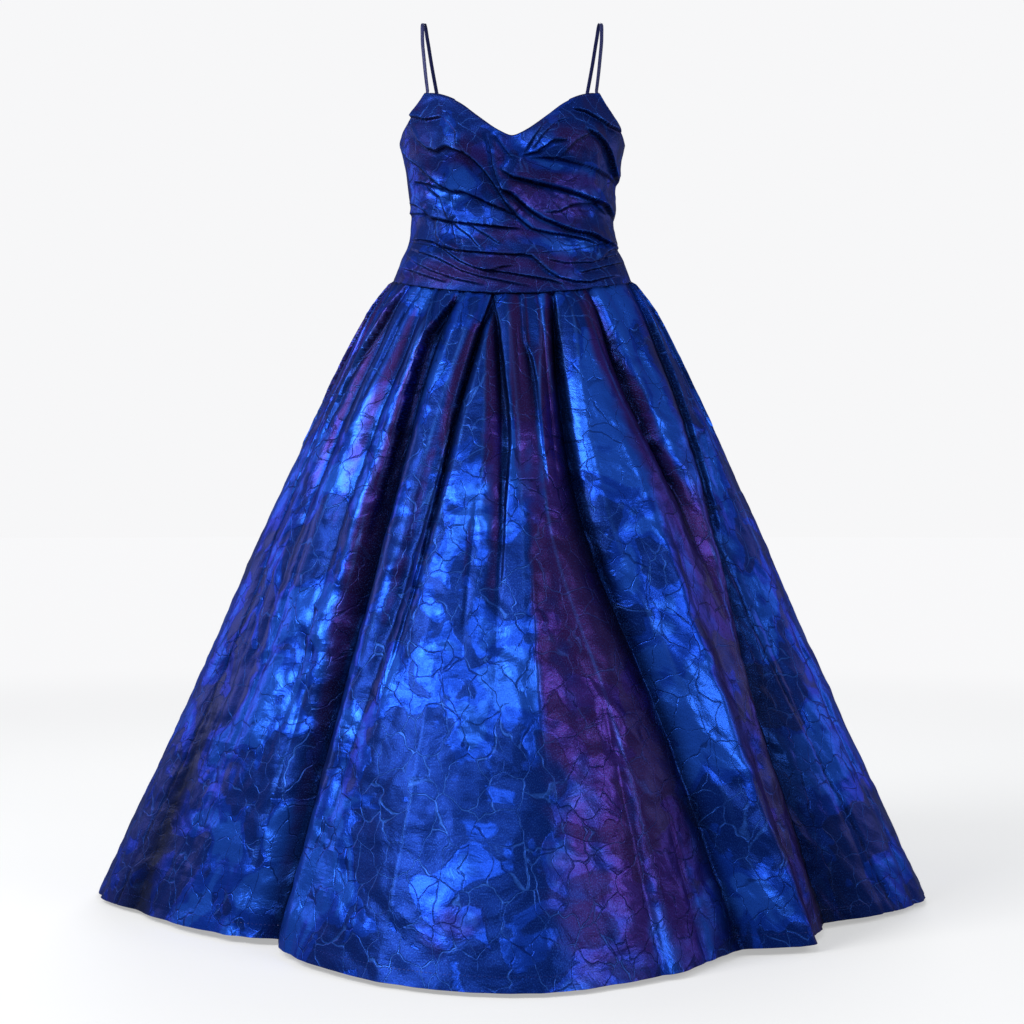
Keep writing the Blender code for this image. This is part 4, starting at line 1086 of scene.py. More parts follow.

# %% [markdown]
# ## The bodice and the waistband
# Both are draped: the cloth is laid over the form in pleats that lap each other. A pleat is a line
# across the front, in mm across and up. Its lip stands off by a height and slopes back over the cloth
# above it, and falls off sharply below, where a dark gap shows. A highlight along the lip and shade
# in the gap are also painted into the colour.

# %% Pleats of the drape
Pleat = namedtuple("Pleat", "name height slope line")
FRONT_PLEATS = (
    Pleat("corner_left", 5, 14, ((-155, -148), (-123, -162), (-101, -160))),
    Pleat("cup_left_edge", 3, 10, ((-101, -160), (-89, -174), (-79, -189), (-78, -210))),
    Pleat("cup_left_mid", 6, 16, ((-148, -168), (-135, -190), (-121, -205), (-107, -212), (-96, -207),
                                  (-83, -212), (-67, -219), (-50, -232), (-36, -247), (-23, -265), (-9, -288),
                                  (2, -304))),
    Pleat("cup_left_low", 7, 18, ((-162, -198), (-151, -211), (-133, -228), (-117, -245), (-103, -258),
                                  (-87, -268), (-67, -271), (-48, -280), (-29, -290), (-9, -298), (4, -306))),
    Pleat("cup_left_tuck", 4, 9, ((-142, -247), (-121, -254), (-95, -267))),
    Pleat("side_left_one", 3, 7, ((-127, -251), (-119, -262), (-103, -276), (-97, -292), (-89, -310))),
    Pleat("side_left_two", 3, 7, ((-85, -275), (-83, -293), (-87, -310))),
    Pleat("waist_left_long", 6, 14, ((-151, -274), (-135, -283), (-125, -292), (-115, -304), (-91, -311),
                                     (-75, -314), (-48, -318), (-9, -323), (13, -325))),
    Pleat("waist_left_side", 3, 7, ((-153, -289), (-123, -297))),
    Pleat("star_one", 3, 8, ((-110, -308), (-107, -332), (-95, -346), (-81, -353))),
    Pleat("star_two", 3, 8, ((-87, -312), (-83, -330), (-77, -346))),
    Pleat("star_three", 3.5, 9, ((-84, -315), (-60, -335), (-44, -355))),
    Pleat("star_four", 3, 8, ((-61, -318), (-33, -336), (-17, -348))),
    Pleat("cross_left", 4, 10, ((-36, -193), (-30, -214), (-27, -235), (-20, -258), (-13, -271), (6, -276))),
    Pleat("cross_left_two", 3, 8, ((-26, -191), (-13, -209), (1, -226))),
    Pleat("corner_right", 6, 14, ((87, -149), (107, -152), (123, -160), (139, -168), (160, -172))),
    Pleat("cup_right_side", 7.5, 14, ((107, -178), (123, -187), (135, -198), (144, -215), (148, -238),
                                      (155, -246))),
    Pleat("cup_right_fan", 5, 11, ((15, -221), (34, -218), (48, -208), (59, -201), (79, -200))),
    Pleat("cup_right_fan_two", 3.5, 9, ((17, -218), (30, -197), (44, -176))),
    Pleat("cup_right_fan_three", 3, 8, ((29, -214), (42, -194), (63, -172), (82, -164))),
    Pleat("cup_right_fan_four", 3.5, 9, ((69, -223), (91, -200), (114, -183))),
    Pleat("wrap_edge", 4, 12, ((25, -225), (63, -225), (87, -230), (115, -233), (139, -240), (155, -248))),
    Pleat("wrap_upper", 9, 17, ((-14, -242), (1, -252), (19, -256), (40, -261), (67, -266), (91, -271),
                                (115, -278), (135, -283), (150, -299))),
    Pleat("wrap_inner", 4, 9, ((44, -302), (67, -298), (83, -289), (103, -284), (119, -282), (138, -295))),
    Pleat("wrap_lower", 9, 17, ((-19, -268), (1, -277), (13, -288), (28, -300), (44, -310), (67, -319),
                                (87, -326), (111, -328), (131, -335), (151, -341))),
    Pleat("wrap_last", 6, 13, ((-10, -286), (9, -309), (28, -325), (58, -331), (77, -332), (107, -337),
                               (124, -341))),
    Pleat("side_right_tuck", 3.5, 9, ((127, -363), (139, -351), (160, -339))),
    Pleat("band_top", 5, 10, ((-151, -332), (-135, -333), (-113, -340), (-97, -349), (-81, -355),
                              (-48, -359), (-19, -362), (13, -363), (28, -365), (40, -376), (54, -389),
                              (67, -397), (91, -401), (111, -401), (131, -394), (158, -386))),
    Pleat("band_second", 4.5, 9, ((-109, -343), (-93, -356), (-75, -371), (-56, -381), (-34, -388),
                                  (-17, -382), (4, -379))),
    Pleat("band_third", 4.5, 9, ((-46, -384), (-10, -390), (9, -393), (28, -396), (54, -400), (75, -406))),
    Pleat("band_fourth", 3.5, 8, ((-150, -343), (-135, -352), (-105, -366), (-72, -386), (-46, -395),
                                  (-10, -403), (26, -410))),
    Pleat("band_low_left", 3, 8, ((-158, -352), (-140, -368), (-115, -384), (-80, -398), (-40, -408))),
    Pleat("band_low_left_two", 3, 8, ((-164, -372), (-130, -388), (-95, -402))),
    Pleat("band_right", 4, 9, ((96, -388), (127, -378), (165, -363))),
    Pleat("band_right_two", 3.5, 8, ((48, -369), (77, -374), (114, -371), (158, -351))),
)
# Behind, "across" is measured round the body from the centre back, the same on both sides but for a shift
BACK_PLEATS = (
    Pleat("back_one", 4.5, 13, ((0, -233), (60, -226), (130, -222), (215, -216))),
    Pleat("back_two", 5.0, 13, ((0, -259), (80, -254), (150, -246), (215, -248))),
    Pleat("back_three", 5.0, 13, ((0, -287), (70, -278), (140, -277), (215, -270))),
    Pleat("back_four", 4.5, 12, ((0, -313), (90, -309), (150, -302), (215, -300))),
    Pleat("back_five", 4.0, 10, ((0, -342), (70, -338), (140, -340), (215, -336))),
    Pleat("back_six", 4.0, 9, ((0, -358), (90, -362), (215, -354))),
    Pleat("back_seven", 4.0, 9, ((0, -379), (70, -374), (150, -378), (215, -372))),
)
# Painted highlights and darker patches on the bodice's front: across and up in metres, reach each way,
# brightening and violet
BODICE_PAINTED_SHEENS = (
    PaintedSheen(-0.092, -0.178, 0.016, 0.020, 0.50, -0.30),
    PaintedSheen(-0.060, -0.225, 0.030, 0.016, -0.10, 0.40),
    PaintedSheen(-0.094, -0.279, 0.024, 0.022, 0.45, -0.30),
    PaintedSheen(-0.082, -0.323, 0.028, 0.018, 0.45, -0.30),
    PaintedSheen(-0.130, -0.225, 0.020, 0.030, -0.25, 0.00),
    PaintedSheen(0.041, -0.210, 0.026, 0.014, 0.70, -0.40),
    PaintedSheen(0.064, -0.236, 0.028, 0.010, 0.55, -0.30),
    PaintedSheen(0.100, -0.196, 0.030, 0.018, -0.15, 0.40),
    PaintedSheen(0.113, -0.343, 0.018, 0.010, 0.80, -0.50),
    PaintedSheen(0.090, -0.255, 0.050, 0.012, -0.10, 0.35),
    PaintedSheen(0.060, -0.290, 0.050, 0.014, 0.00, 0.35),
    PaintedSheen(0.012, -0.330, 0.040, 0.012, -0.15, 0.35),
    PaintedSheen(-0.118, -0.350, 0.024, 0.009, 0.40, -0.20),
    PaintedSheen(0.060, -0.375, 0.050, 0.012, -0.10, 0.35),
    PaintedSheen(-0.020, -0.372, 0.040, 0.010, -0.05, 0.25),
    PaintedSheen(0.000, -0.165, 0.030, 0.020, -0.10, 0.30),
    PaintedSheen(-0.090, -0.388, 0.080, 0.016, -0.45, 0.35),
    PaintedSheen(0.030, -0.405, 0.070, 0.012, -0.35, 0.25),
)
PLEAT_DROP = 1.5
ROOF_LENGTH = 2.0
PLEAT_END_LENGTH = 0.14


# %% One pleat of the drape
FULL_PLEAT_HEIGHT = 6.0
ROOF_CURVE = 1.1
DIP_SHARE, DIP_PLACE, DIP_WIDTH = 0.16, 0.0045, 0.0040
GAP_WIDTHS = (0.0008, 0.0007)
GAP_SHADE, GAP_SHADE_WIDTH = 0.55, 0.006
EDGE_HIGHLIGHT_PLACE, EDGE_HIGHLIGHT_WIDTH = 0.0006, 0.0009
EDGE_GLEAM, EDGE_GLEAM_WIDTH = 0.15, 0.005


def beside_line(x, z, line):
    """How far a point is from a line, whether it lies above it, and the share of the way along."""
    run = run_along(line)
    nearest = np.full(np.shape(x), np.inf)
    above = np.zeros(np.shape(x), bool)
    share = np.zeros(np.shape(x))
    for start, end, a, b in zip(run[:-1], run[1:], line[:-1], line[1:]):
        step = b - a
        t = np.clip(((x - a[0]) * step[0] + (z - a[1]) * step[1]) / (step @ step), 0, 1)
        away_x, away_z = x - a[0] - t * step[0], z - a[1] - t * step[1]
        away = np.hypot(away_x, away_z)
        closer = away < nearest
        above = np.where(closer, step[0] * away_z - step[1] * away_x > 0, above)
        share = np.where(closer, (start + t * (end - start)) / run[-1], share)
        nearest = np.where(closer, away, nearest)
    return nearest, above, share


def pleat_relief(x, z, pleat):
    """How far one pleat stands off at a point, with a painted highlight along its edge and painted shade in
    the gap below it.
    """
    nearest, above, share = beside_line(x, z, np.array(pleat.line) / MM)
    taper = np.sqrt(np.clip(np.minimum(share, 1 - share) / PLEAT_END_LENGTH, 0, 1))
    height = pleat.height / MM * taper
    roof = height * np.clip(1 - nearest / (ROOF_LENGTH * pleat.slope / MM), 0, 1) ** ROOF_CURVE
    fall = height * np.clip(1 - nearest / (PLEAT_DROP / MM), 0, 1)
    dip = DIP_SHARE * height * hill(nearest - DIP_PLACE, DIP_WIDTH)
    strength = taper * min(1.0, pleat.height / FULL_PLEAT_HEIGHT)
    gap_width = GAP_WIDTHS[0] + GAP_WIDTHS[1] * soft_step(pleat.height, 5, 8)
    # Painted highlight: a thin line at the edge and a gleam fading up the roof. Painted shade: the gap below
    # the edge and a broad shade fading down from it
    lip = hill(nearest - EDGE_HIGHLIGHT_PLACE, EDGE_HIGHLIGHT_WIDTH) + EDGE_GLEAM * np.exp(-nearest / EDGE_GLEAM_WIDTH)
    gap = hill(nearest - gap_width, gap_width) + GAP_SHADE * np.exp(-nearest / GAP_SHADE_WIDTH)
    return np.where(above, roof, fall - dip), strength * lip * above, strength * gap * ~above


# %% All the pleats together
BACK_RADIUS = 0.155
BACK_SHIFT = 0.004
SIDE_CATCH = 0.016
BACK_CATCH = (0.001, 0.014)


def drape_relief(angle, z):
    """All the pleats' height at points of the bodice or band, the painted highlights at their edges and the
    painted shade in their gaps.
    """
    behind = np.abs(angle) > math.pi / 2
    across_front = torso_point(angle, z)[..., 0]
    across_back = BACK_RADIUS * (math.pi - np.abs(angle))
    level_back = z + np.where(angle < 0, BACK_SHIFT, 0.0)
    total = (0.0, 0.0, 0.0)
    for pleats, here, across, level in ((FRONT_PLEATS, ~behind, across_front, z),
                                        (BACK_PLEATS, behind, across_back, level_back)):
        for pleat in pleats if here.any() else ():
            total = [old + new * here for old, new in zip(total, pleat_relief(across, level, pleat))]
    relief, lip, gap = total

    # The seams at the sides and the centre back catch the pleats and press them flat
    from_side = np.abs(np.abs(angle) - math.pi / 2) * 0.10
    from_back = (math.pi - np.abs(angle)) * 0.15
    caught = 0.30 + 0.70 * soft_step(from_side, 0.0, SIDE_CATCH)
    caught = caught * (0.25 + 0.75 * soft_step(from_back, *BACK_CATCH))
    return relief * caught, np.clip(lip * caught, 0, 1), np.clip(gap * caught, 0, 1)


# %% The surface of the bodice and the band
TORSO_RADIUS = 0.135
TORSO_STAND_OFF = 0.0018
TORSO_CRUMPLES = (Crumple(0.0010, 1.0, 1.0, 0.034, 41), Crumple(0.0005, 1.0, 1.0, 0.014, 47))
TORSO_STREAKS = (Crumple(0.35, 1.0, 1.3, 0.030, 93),)
TORSO_LAKE_SIZE, TORSO_LAKE_LEVEL = 0.05, -0.10
NOWHERE = 9.0


def torso_surface(angle, z, edge_roll=0.0):
    """The outer face of the bodice or band on a grid, with its flat coordinates and its marks."""
    relief, lip, gap = drape_relief(angle, z)
    around = TORSO_RADIUS * angle
    crumple = crumpled(TORSO_CRUMPLES, around, z) * soft_step(math.pi - np.abs(angle), 0.0, 0.08)
    points = torso_point(angle, z, TORSO_STAND_OFF + relief + crumple - edge_roll)
    plain = torso_point(angle, z)
    # Lips get an uneven painted highlight; painted highlights and darker patches from the sheen table go into
    # the lakes on the front
    uneven = 0.30 + 0.70 * soft_step(soft_noise(around, z, 0.03, 57), -0.3, 0.5)
    across = np.where(np.abs(angle) < math.pi / 2, plain[..., 0], NOWHERE)
    bright, violet = painted_sheen(across, z, BODICE_PAINTED_SHEENS)
    marks = {
        "flank": flank_of(points, plain) + violet,
        "lip": lip * uneven,
        "valley": gap,
        "lake": lakes(around, z, TORSO_LAKE_SIZE, 67) + TORSO_LAKE_LEVEL + bright,
        "crease": crumpled(TORSO_STREAKS, around, z),
    }
    return points, np.stack([around, z], axis=-1), marks

# %% The pieces of the bodice and the band
SIDE_SEAM_RADIUS = 0.10
BACK_SEAM_RADIUS = 0.15
QUARTER = math.pi / 2
side_gap = SEAM_GAP / 2 / SIDE_SEAM_RADIUS
back_gap = SEAM_GAP / 2 / BACK_SEAM_RADIUS
FRONT_ANGLES = (-QUARTER + side_gap, QUARTER - side_gap)
RIGHT_ANGLES = (QUARTER + side_gap, math.pi - back_gap)
LEFT_ANGLES = (-math.pi + back_gap, -QUARTER - side_gap)


def bodice_low(angle):
    return band_top_level(angle) + SEAM_GAP / 2


def band_top(angle):
    return band_top_level(angle) - SEAM_GAP / 2


def band_low(angle):
    return waist_level(angle) + SEAM_GAP / 2


Piece = namedtuple("Piece", "name first last top low columns rows rolled")
TORSO_PIECES = (
    Piece("bodice_front", *FRONT_ANGLES, top_level, bodice_low, 280, 112, True),
    Piece("bodice_back_right", *RIGHT_ANGLES, top_level, bodice_low, 110, 62, True),
    Piece("bodice_back_left", *LEFT_ANGLES, top_level, bodice_low, 110, 62, True),
    Piece("waistband_front", *FRONT_ANGLES, band_top, band_low, 260, 36, False),
    Piece("waistband_back_right", *RIGHT_ANGLES, band_top, band_low, 110, 30, False),
    Piece("waistband_back_left", *LEFT_ANGLES, band_top, band_low, 110, 30, False),
)


def torso_grid(piece):
    """The angles and levels of a piece's grid. The neckline's corners each get a column."""
    columns = np.linspace(piece.first, piece.last, piece.columns + 1)
    for corner in (-math.radians(CORNER_DEG), math.radians(CORNER_DEG)):
        if piece.first < corner < piece.last:
            columns[np.argmin(np.abs(columns - corner))] = corner
    high, low = piece.top(columns), piece.low(columns)
    z = high + (low - high) * np.linspace(0, 1, piece.rows + 1)[:, None]
    return np.broadcast_to(columns, z.shape), z


# %% Build the bodice and the band
BODICE_CLOTH_THICKNESS = 0.0009
EDGE_ROLL = 0.0016
EDGE_WIDTH = 0.0030
EDGE_SHADE, EDGE_SHADE_WIDTH = 0.9, 0.0022
LOW_SHADE_WIDTH = 0.0016
BAND_FLAP = 0.004

for piece in TORSO_PIECES:
    angle, z = torso_grid(piece)
    from_top, from_low = z[:1] - z, z - z[-1:]
    roll = EDGE_ROLL * np.clip(1 - from_top / EDGE_WIDTH, 0, 1) ** 2
    outer, flat, marks = torso_surface(angle, z, roll if piece.rolled else 0.0)
    # Painted shade along the piece's lower edge, and on the bodice under its rolled top edge
    shade = np.clip(1 - from_low / LOW_SHADE_WIDTH, 0, 1)
    if piece.rolled:
        shade = np.maximum(shade, EDGE_SHADE * np.clip(1 - from_top / EDGE_SHADE_WIDTH, 0, 1))
    marks["valley"] = np.maximum(marks["valley"], shade)
    if not piece.rolled:
        # The band goes on a little way behind the bodice, so that no gap shows between them
        flap = torso_point(angle[0], z[0] + BAND_FLAP)
        outer, flat, marks = with_row_above(flap, flat[:1] + (0.0, BAND_FLAP), outer, flat, marks)
    made = cloth_shell(piece.name, outer, BODICE_CLOTH_THICKNESS, flat, marks, bodice_cloth)
    declare_cut(made, outer)

# %% [markdown]
# ## Straps
# Each strap is a narrow satin tube, pressed flat, sewn inside the bodice's top edge in front and
# behind. It is swept along its way over the shoulder, and turns with the body. Because it is a rolled
# tube, it isn't declared as a flat sheet.

# %% Navy satin
def satin(name, body, rib):
    """A plain satin with fine ribs across, whose pitch is in metres."""
    made, shader, start = new_material(name)
    place = flat_place_of(start)
    along = place.node("ShaderNodeSeparateXYZ", {}, {0: place}, output=1)
    ribs = start.maths("SINE", along * (2 * math.pi / rib))
    patch = cloud(scaled(place, 120.0, 60.0), 3.0)
    feed(shader, "Base Color", mix(patch, body, mix(ribs * 0.25 + 0.3, body, colour(36, 52, 150))))
    feed(shader, "Roughness", 0.34 + patch * 0.14)
    feed(shader, "Metallic", 0.25)
    feed(shader, "Sheen Weight", 0.15)
    feed_relief(shader, ribs + patch, 0.4, 0.0002)
    return made


strap_satin = satin("strap_satin", colour(14, 20, 74), 0.0011)

# %% The strap's route
STRAP_WIDTH = 0.0056
STRAP_THICKNESS = 0.0020
STRAP_SEWN_IN = 0.014
STRAP_RISE = 0.003
STRAP_CLEARANCE = 0.0017
# The free stretch on the right side, from front to back: across, front to back, level
STRAP_FREE = (
    (0.1262, -0.0535, -0.1000),
    (0.1300, -0.0400, -0.0660),
    (0.1335, -0.0190, -0.0270),
    (0.1332, -0.0050, -0.0040),
    (0.1315, 0.0040, -0.0020),
    (0.1275, 0.0170, -0.0230),
    (0.1222, 0.0340, -0.0560),
    (0.1145, 0.0530, -0.0980),
    (0.1045, 0.0690, -0.1500),
)
STRAP_FRONT_DEG = 50.8
STRAP_BACK_DEG = 144.5
STRAP_STEPS = 130
STRAP_SIDES = 16
SMALL_TURN = 0.01


def inside_face(degrees, z, clearance):
    """A point just inside the bodice, and the direction along its face."""
    angle, level = np.radians(degrees), np.array(z)
    along = torso_point(angle + SMALL_TURN, level) - torso_point(angle - SMALL_TURN, level)
    return torso_point(angle, level, -clearance), unit(along)


def strap_end(degrees):
    """The strap's sewn end: points down the inside of the cloth, the lowest first."""
    edge = float(top_level(np.radians(degrees)))
    rises = (-STRAP_SEWN_IN, -STRAP_SEWN_IN / 2, 0.0, STRAP_RISE)
    return [inside_face(degrees, edge + rise, STRAP_CLEARANCE) for rise in rises]


# %% A flat tube along a path
TUBE_SHARP_DEG = 60
FLAT_ROUNDNESS, EDGE_ROUNDNESS = 0.7, 0.8


def flattened(turn, power, size):
    """A circle's coordinate, pressed towards the corners of its square."""
    return np.sign(turn) * np.abs(turn) ** power * size / 2


def tube_mesh(name, path, across, width, thickness, sides):
    """A closed flat tube along a path, with flat coordinates round and along it."""
    ahead = unit(np.gradient(path, axis=0))
    across = unit(across - ahead * (across * ahead).sum(axis=1, keepdims=True))
    up = np.cross(ahead, across)
    turns = np.linspace(0, 2 * math.pi, sides, endpoint=False)
    wide = flattened(np.cos(turns), FLAT_ROUNDNESS, width)
    high = flattened(np.sin(turns), EDGE_ROUNDNESS, thickness)
    rings = path[:, None] + across[:, None] * wide[None, :, None] + up[:, None] * high[None, :, None]
    index = np.arange(len(path) * sides).reshape(len(path), sides)
    ahead_of, beside = index[1:], np.roll(index, -1, axis=1)
    faces = quads_of(index[:-1], beside[:-1], beside[1:], ahead_of).tolist()
    faces += [index[0, ::-1].tolist(), index[-1].tolist()]
    mesh = bpy.data.meshes.new(name)
    mesh.from_pydata(rings.reshape(-1, 3).tolist(), [], faces)
    mesh.shade_smooth()
    mesh.set_sharp_from_angle(angle=math.radians(TUBE_SHARP_DEG))
    flat = np.stack(np.broadcast_arrays(wide[None, :], run_along(path)[:, None]), axis=-1)
    write_flat(mesh, flat.reshape(-1, 2))
    return mesh


# %% The strap's whole way
front_end = strap_end(STRAP_FRONT_DEG)
back_end = [(point, -along) for point, along in reversed(strap_end(STRAP_BACK_DEG))]
route = np.array([front_end[-1][0], *STRAP_FREE, back_end[0][0]])
run = run_along(route)
even = np.linspace(0, run[-1], STRAP_STEPS)
free = np.stack([smooth(even, run, route[:, axis]) for axis in range(3)], axis=1)
free[:, 2] -= max(0.0, free[:, 2].max() + STRAP_THICKNESS / 2)

# Its flat side turns from along the front's face to straight across, and on to along the back's face
share = (even / run[-1])[:, None]
sideways = np.array((1.0, 0.0, 0.0))
turned = np.where(
    share < 0.5,
    front_end[-1][1] * (1 - 2 * share) + sideways * 2 * share,
    sideways * (2 - 2 * share) + back_end[0][1] * (2 * share - 1),
)
path = np.concatenate([[point for point, _ in front_end[:-1]], free, [point for point, _ in back_end[1:]]])
across = np.concatenate([[way for _, way in front_end[:-1]], turned, [way for _, way in back_end[1:]]])

# %% Sweep the straps
for name, side in (("strap_right", 1), ("strap_left", -1)):
    mirrored = np.array((side, 1, 1))
    label = name + "_satin"
    mesh = tube_mesh(label, path * mirrored, across * mirrored, STRAP_WIDTH, STRAP_THICKNESS, STRAP_SIDES)
    mesh.materials.append(strap_satin)
    strap = placed(label, mesh)
    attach(strap, "dress")
    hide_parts(name)
print(f"each strap is {run[-1] + 2 * STRAP_SEWN_IN:.3f} m long")

# %% [markdown]
# ## Sewing
# Stitches repeat along a seam, so Geometry Nodes make them: one stitch, a short bar of thread, is
# copied to even steps along a curve. The tree has named inputs, and its result is baked to a mesh.

# %% A tree that puts pieces along a path
def along_path_tree(name, finish):
    """Puts bars along a curve: pitch, length and thickness are inputs."""
    tree = bpy.data.node_groups.new(name, "GeometryNodeTree")
    face = tree.interface
    face.new_socket("Path", in_out="INPUT", socket_type="NodeSocketGeometry")
    for label, value in (("Pitch", 0.003), ("Length", 0.002), ("Thickness", 0.0003)):
        face.new_socket(label, in_out="INPUT", socket_type="NodeSocketFloat").default_value = value
    face.new_socket("Stitches", in_out="OUTPUT", socket_type="NodeSocketGeometry")
    start = tree.nodes.new("NodeGroupInput")
    end = tree.nodes.new("NodeGroupOutput")

    def node(kind, settings=None, links=None):
        made = tree.nodes.new(kind)
        for key, value in (settings or {}).items():
            setattr(made, key, value)
        for key, value in (links or {}).items():
            if isinstance(value, bpy.types.NodeSocket):
                tree.links.new(value, made.inputs[key])
            else:
                made.inputs[key].default_value = value
        return made

    steps = node("GeometryNodeResampleCurve", {"mode": "LENGTH"}, {
        "Curve": start.outputs["Path"], "Length": start.outputs["Pitch"]})
    bar = node("GeometryNodeMeshCylinder", links={
        "Vertices": 6, "Radius": start.outputs["Thickness"], "Depth": start.outputs["Length"]})
    along = node("GeometryNodeInputTangent")
    turn = node("FunctionNodeAlignRotationToVector", {"axis": "Z"}, {"Vector": along.outputs[0]})
    copies = node("GeometryNodeInstanceOnPoints", links={
        "Points": steps.outputs[0], "Instance": bar.outputs["Mesh"], "Rotation": turn.outputs[0]})
    real = node("GeometryNodeRealizeInstances", links={0: copies.outputs[0]})
    painted = node("GeometryNodeSetMaterial", links={0: real.outputs[0], "Material": finish})
    tree.links.new(painted.outputs[0], end.inputs[0])
    return tree


def baked_along(name, paths, tree, sizes):
    """Runs the tree on the paths and returns one plain mesh object."""
    curve = bpy.data.curves.new(name + "_path", "CURVE")
    curve.dimensions = "3D"
    for points in paths:
        spline = curve.splines.new("POLY")
        spline.points.add(len(points) - 1)
        weighted = np.column_stack([points, np.ones(len(points))])
        spline.points.foreach_set("co", weighted.astype(np.float32).ravel())
    guide = placed(name + "_guide", curve)
    modifier = guide.modifiers.new("along_path", "NODES")
    modifier.node_group = tree
    for item in tree.interface.items_tree:
        if item.item_type == "SOCKET" and item.in_out == "INPUT" and item.name in sizes:
            modifier[item.identifier] = sizes[item.name]
    graph = bpy.context.evaluated_depsgraph_get()
    mesh = bpy.data.meshes.new_from_object(guide.evaluated_get(graph), depsgraph=graph)
    mesh.name = name
    bpy.data.objects.remove(guide)
    return placed(name, mesh)


# %% Thread
thread, thread_shader, start = new_material("navy_thread")
twist = cloud(scaled(own_place(start), 900.0, 900.0), 2.0)
feed(thread_shader, "Base Color", mix(twist, colour(12, 22, 92), colour(40, 66, 180)))
feed(thread_shader, "Roughness", 0.45)
stitch_tree = along_path_tree("stitches_along_path", thread)


# %% Stitches at the top edge and the hem
EDGE_STITCH_DROP = 0.0040
EDGE_STITCH_STEPS = 900
HEM_SHARE = 0.981
HEM_STITCH_STEPS = 1800
STITCH_LIFT = 0.0002


def middle_lifted(points):
    """The middle one of three rows of a surface, lifted a little off the cloth."""
    return points[1] + grid_normals(points)[1] * STITCH_LIFT


def edge_line():
    """A line of points round the bodice, just below its top edge."""
    angle = np.linspace(-math.pi + 0.004, math.pi - 0.004, EDGE_STITCH_STEPS)
    z = top_level(angle) - EDGE_STITCH_DROP
    points, _, _ = torso_surface(angle[None, :].repeat(3, 0), np.stack([z + 0.001, z, z - 0.001]))
    return middle_lifted(points)


def hem_line():
    """A line of points round the skirt, just above its hem."""
    degrees = np.linspace(-179.7, 179.7, HEM_STITCH_STEPS)[None, :].repeat(3, 0)
    rows = np.array([HEM_SHARE - 0.002, HEM_SHARE, HEM_SHARE + 0.002])
    points, _, _ = skirt_surface(degrees, rows[:, None].repeat(HEM_STITCH_STEPS, 1))
    return middle_lifted(points)


EDGE_STITCH = {"Pitch": 0.0030, "Length": 0.0020, "Thickness": 0.00022}
HEM_STITCH = {"Pitch": 0.0060, "Length": 0.0026, "Thickness": 0.00025}
edge_stitches = baked_along("edge_stitches", [edge_line()], stitch_tree, EDGE_STITCH)
hem_stitches = baked_along("hem_stitches", [hem_line()], stitch_tree, HEM_STITCH)
for made, slot in ((edge_stitches, "bodice_cloth"), (hem_stitches, "skirt_cloth")):
    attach(made, "dress")
    print(made.name, len(made.data.polygons), "faces")

# %% [markdown]
# ## The zip
# The zip is concealed: from outside only its slider shows at the top of the centre-back seam. Inside,
# the tape carries a coil, which is a row of small loops. Tape, slider and tab keep the shape of their
# solids and get their own finish.

# %% The finishes of the zip
TAPE_RIB, TAPE_THREAD = 0.0010, 0.0008
COIL_RIB = 0.0010


def woven_tape(name):
    """A dull tape with ribs across and threads along it."""
    made, shader, start = new_material(name)
    place = own_place(start)
    along = place.node("ShaderNodeSeparateXYZ", {}, {0: place}, output=2)
    over = place.node("ShaderNodeSeparateXYZ", {}, {0: place}, output=0)
    ribs = start.maths("SINE", along * (2 * math.pi / TAPE_RIB))
    ribs = ribs * start.maths("SINE", over * (2 * math.pi / TAPE_THREAD))
    feed(shader, "Base Color", mix(ribs * 0.5 + 0.5, colour(10, 12, 42), colour(30, 34, 88)))
    feed(shader, "Roughness", 0.72)
    feed_relief(shader, ribs, 0.5, 0.0002)
    return made


def enamel(name):
    """Navy enamel on metal, which shows through where it is worn."""
    made, shader, start = new_material(name)
    wear = cloud(scaled(own_place(start), 700.0, 700.0), 4.0)
    feed(shader, "Base Color", mix(between(wear, 0.60, 0.68), colour(20, 26, 86), colour(120, 122, 130)))
    feed(shader, "Roughness", 0.24 + wear * 0.20)
    feed(shader, "Metallic", 0.55)
    feed(shader, "Coat Weight", 0.5)
    return made


def finish_node(node, finish):
    """Gives a solid that stays its own finish."""
    for slot in bpy.data.objects[node].material_slots:
        slot.material = finish


zip_metal = enamel("zip_metal")
finish_node("zip_tape", woven_tape("zip_cloth"))
finish_node("zip_slider", zip_metal)
finish_node("zip_tab", zip_metal)
coil_finish = satin("zip_coil", colour(24, 30, 96), COIL_RIB)

# %% The zip's coil
COIL_TOP, COIL_LOW = -0.216, -0.392
COIL_STEPS = 200
COIL_DEPTH = 0.0024
COIL_ROW_PLACES = (-0.0008, 0.0008)
COIL_LOOP = {"Pitch": 0.0011, "Length": 0.0007, "Thickness": 0.0007}

coil_tree = along_path_tree("coil_along_path", coil_finish)
coil_z = np.linspace(COIL_TOP, COIL_LOW, COIL_STEPS)
coil_y = torso_point(np.full(COIL_STEPS, math.pi), coil_z)[:, 1] - COIL_DEPTH
coil_rows = [np.stack([np.full(COIL_STEPS, x), coil_y, coil_z], axis=1) for x in COIL_ROW_PLACES]
coil = baked_along("zip_coil", coil_rows, coil_tree, COIL_LOOP)
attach(coil, "dress")
print("zip coil", len(coil.data.polygons), "faces")

# %% [markdown]
# ## Floor, background and light
# A pale floor lies just below the hem. Far away it is as bright as the background, so that no horizon
# shows. One large soft light stands at the upper left, a weaker one at the right, and one behind.

# %% Floor
FLOOR_DROP = 0.006
FLOOR_RADIUS = 40.0
FLOOR_SIDES = 64

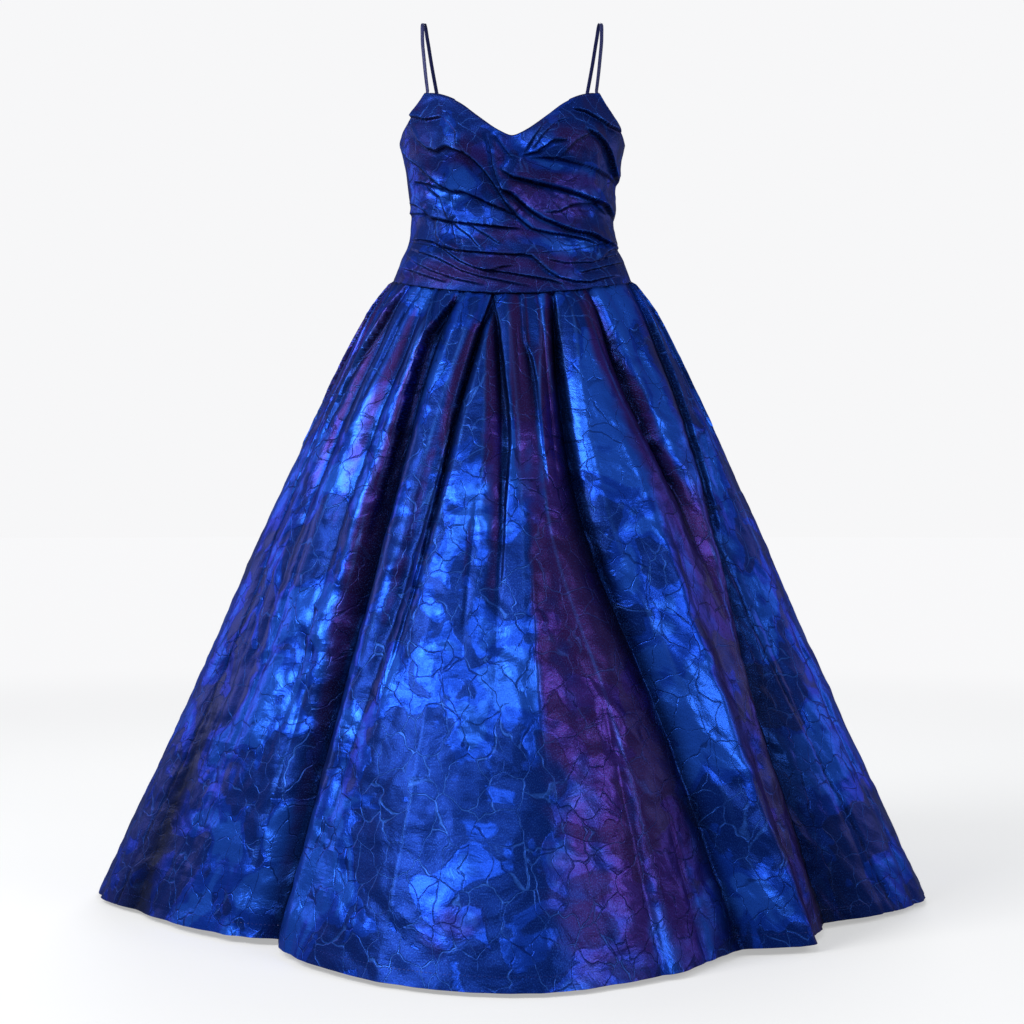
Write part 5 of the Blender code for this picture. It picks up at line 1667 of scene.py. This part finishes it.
floor_mesh = bpy.data.meshes.new("floor")
floor_turns = np.linspace(0, 2 * math.pi, FLOOR_SIDES, endpoint=False)
floor_edge = [(FLOOR_RADIUS * math.cos(turn), FLOOR_RADIUS * math.sin(turn)) for turn in floor_turns]
floor_level = -HEIGHT - FLOOR_DROP
floor_mesh.from_pydata([(x, y, floor_level) for x, y in floor_edge], [], [range(FLOOR_SIDES)])
floor = placed("floor", floor_mesh)
floor.visible_glossy = False
floor.visible_diffuse = False
floor_finish, floor_shader, start = new_material("floor_paint")
spot = own_place(start)
far = spot.node("ShaderNodeVectorMath", {"operation": "LENGTH"}, {0: spot}, output=1)
glow = between(far, 1.4, 4.5)
feed(floor_shader, "Base Color", mix(glow, (0.60, 0.60, 0.60, 1.0), (0.0, 0.0, 0.0, 1.0)))
feed(floor_shader, "Emission Color", mix(glow, (0.40, 0.40, 0.39, 1.0), (0.93, 0.93, 0.94, 1.0)))
feed(floor_shader, "Emission Strength", 1.0)
feed(floor_shader, "Roughness", 0.8)
feed(floor_shader, "Specular IOR Level", 0.1)
floor_mesh.materials.append(floor_finish)

# %% Background and lights
Lamp = namedtuple("Lamp", "name place aim size watts")
LAMPS = (
    Lamp("key_left", (-2.5, -1.7, 1.3), (-0.1, -0.2, -0.75), 1.5, 82.0),
    Lamp("front_top", (-0.7, -2.7, 2.1), (0.0, -0.2, -0.75), 1.1, 23.0),
    Lamp("side_left", (-2.9, 1.3, 0.1), (-0.3, 0.0, -1.0), 1.3, 12.0),
    Lamp("side_right", (3.0, 1.1, 0.0), (0.3, 0.0, -1.0), 1.3, 8.0),
    Lamp("fill_right", (2.6, -1.9, 0.9), (0.2, -0.2, -0.75), 1.3, 24.0),
    Lamp("back_top", (0.4, 3.0, 1.8), (0.0, 0.3, -0.7), 1.6, 55.0),
)
for lamp in LAMPS:
    data = bpy.data.lights.new(lamp.name, "AREA")
    data.size = lamp.size
    data.energy = lamp.watts
    light = placed(lamp.name, data)
    light.location = lamp.place
    light.rotation_euler = (Vector(lamp.aim) - Vector(lamp.place)).to_track_quat("-Z", "Y").to_euler()

world = bpy.data.worlds.new("studio")
scene.world = world
world.use_nodes = True
sky = Shade(world.node_tree)
bright_sky = sky.node("ShaderNodeBackground", {}, {"Color": (0.93, 0.93, 0.94, 1.0), "Strength": 1.0})
dim_sky = sky.node("ShaderNodeBackground", {}, {"Color": (0.80, 0.86, 1.0, 1.0), "Strength": 0.25})
seen = sky.node("ShaderNodeLightPath", {}, output=0)
both = sky.node("ShaderNodeMixShader", {}, {0: seen, 1: dim_sky, 2: bright_sky})
world.node_tree.links.new(both.socket, world.node_tree.nodes["World Output"].inputs["Surface"])
scene.view_settings.view_transform = "Standard"
print("lights:", ", ".join(lamp.name for lamp in LAMPS))
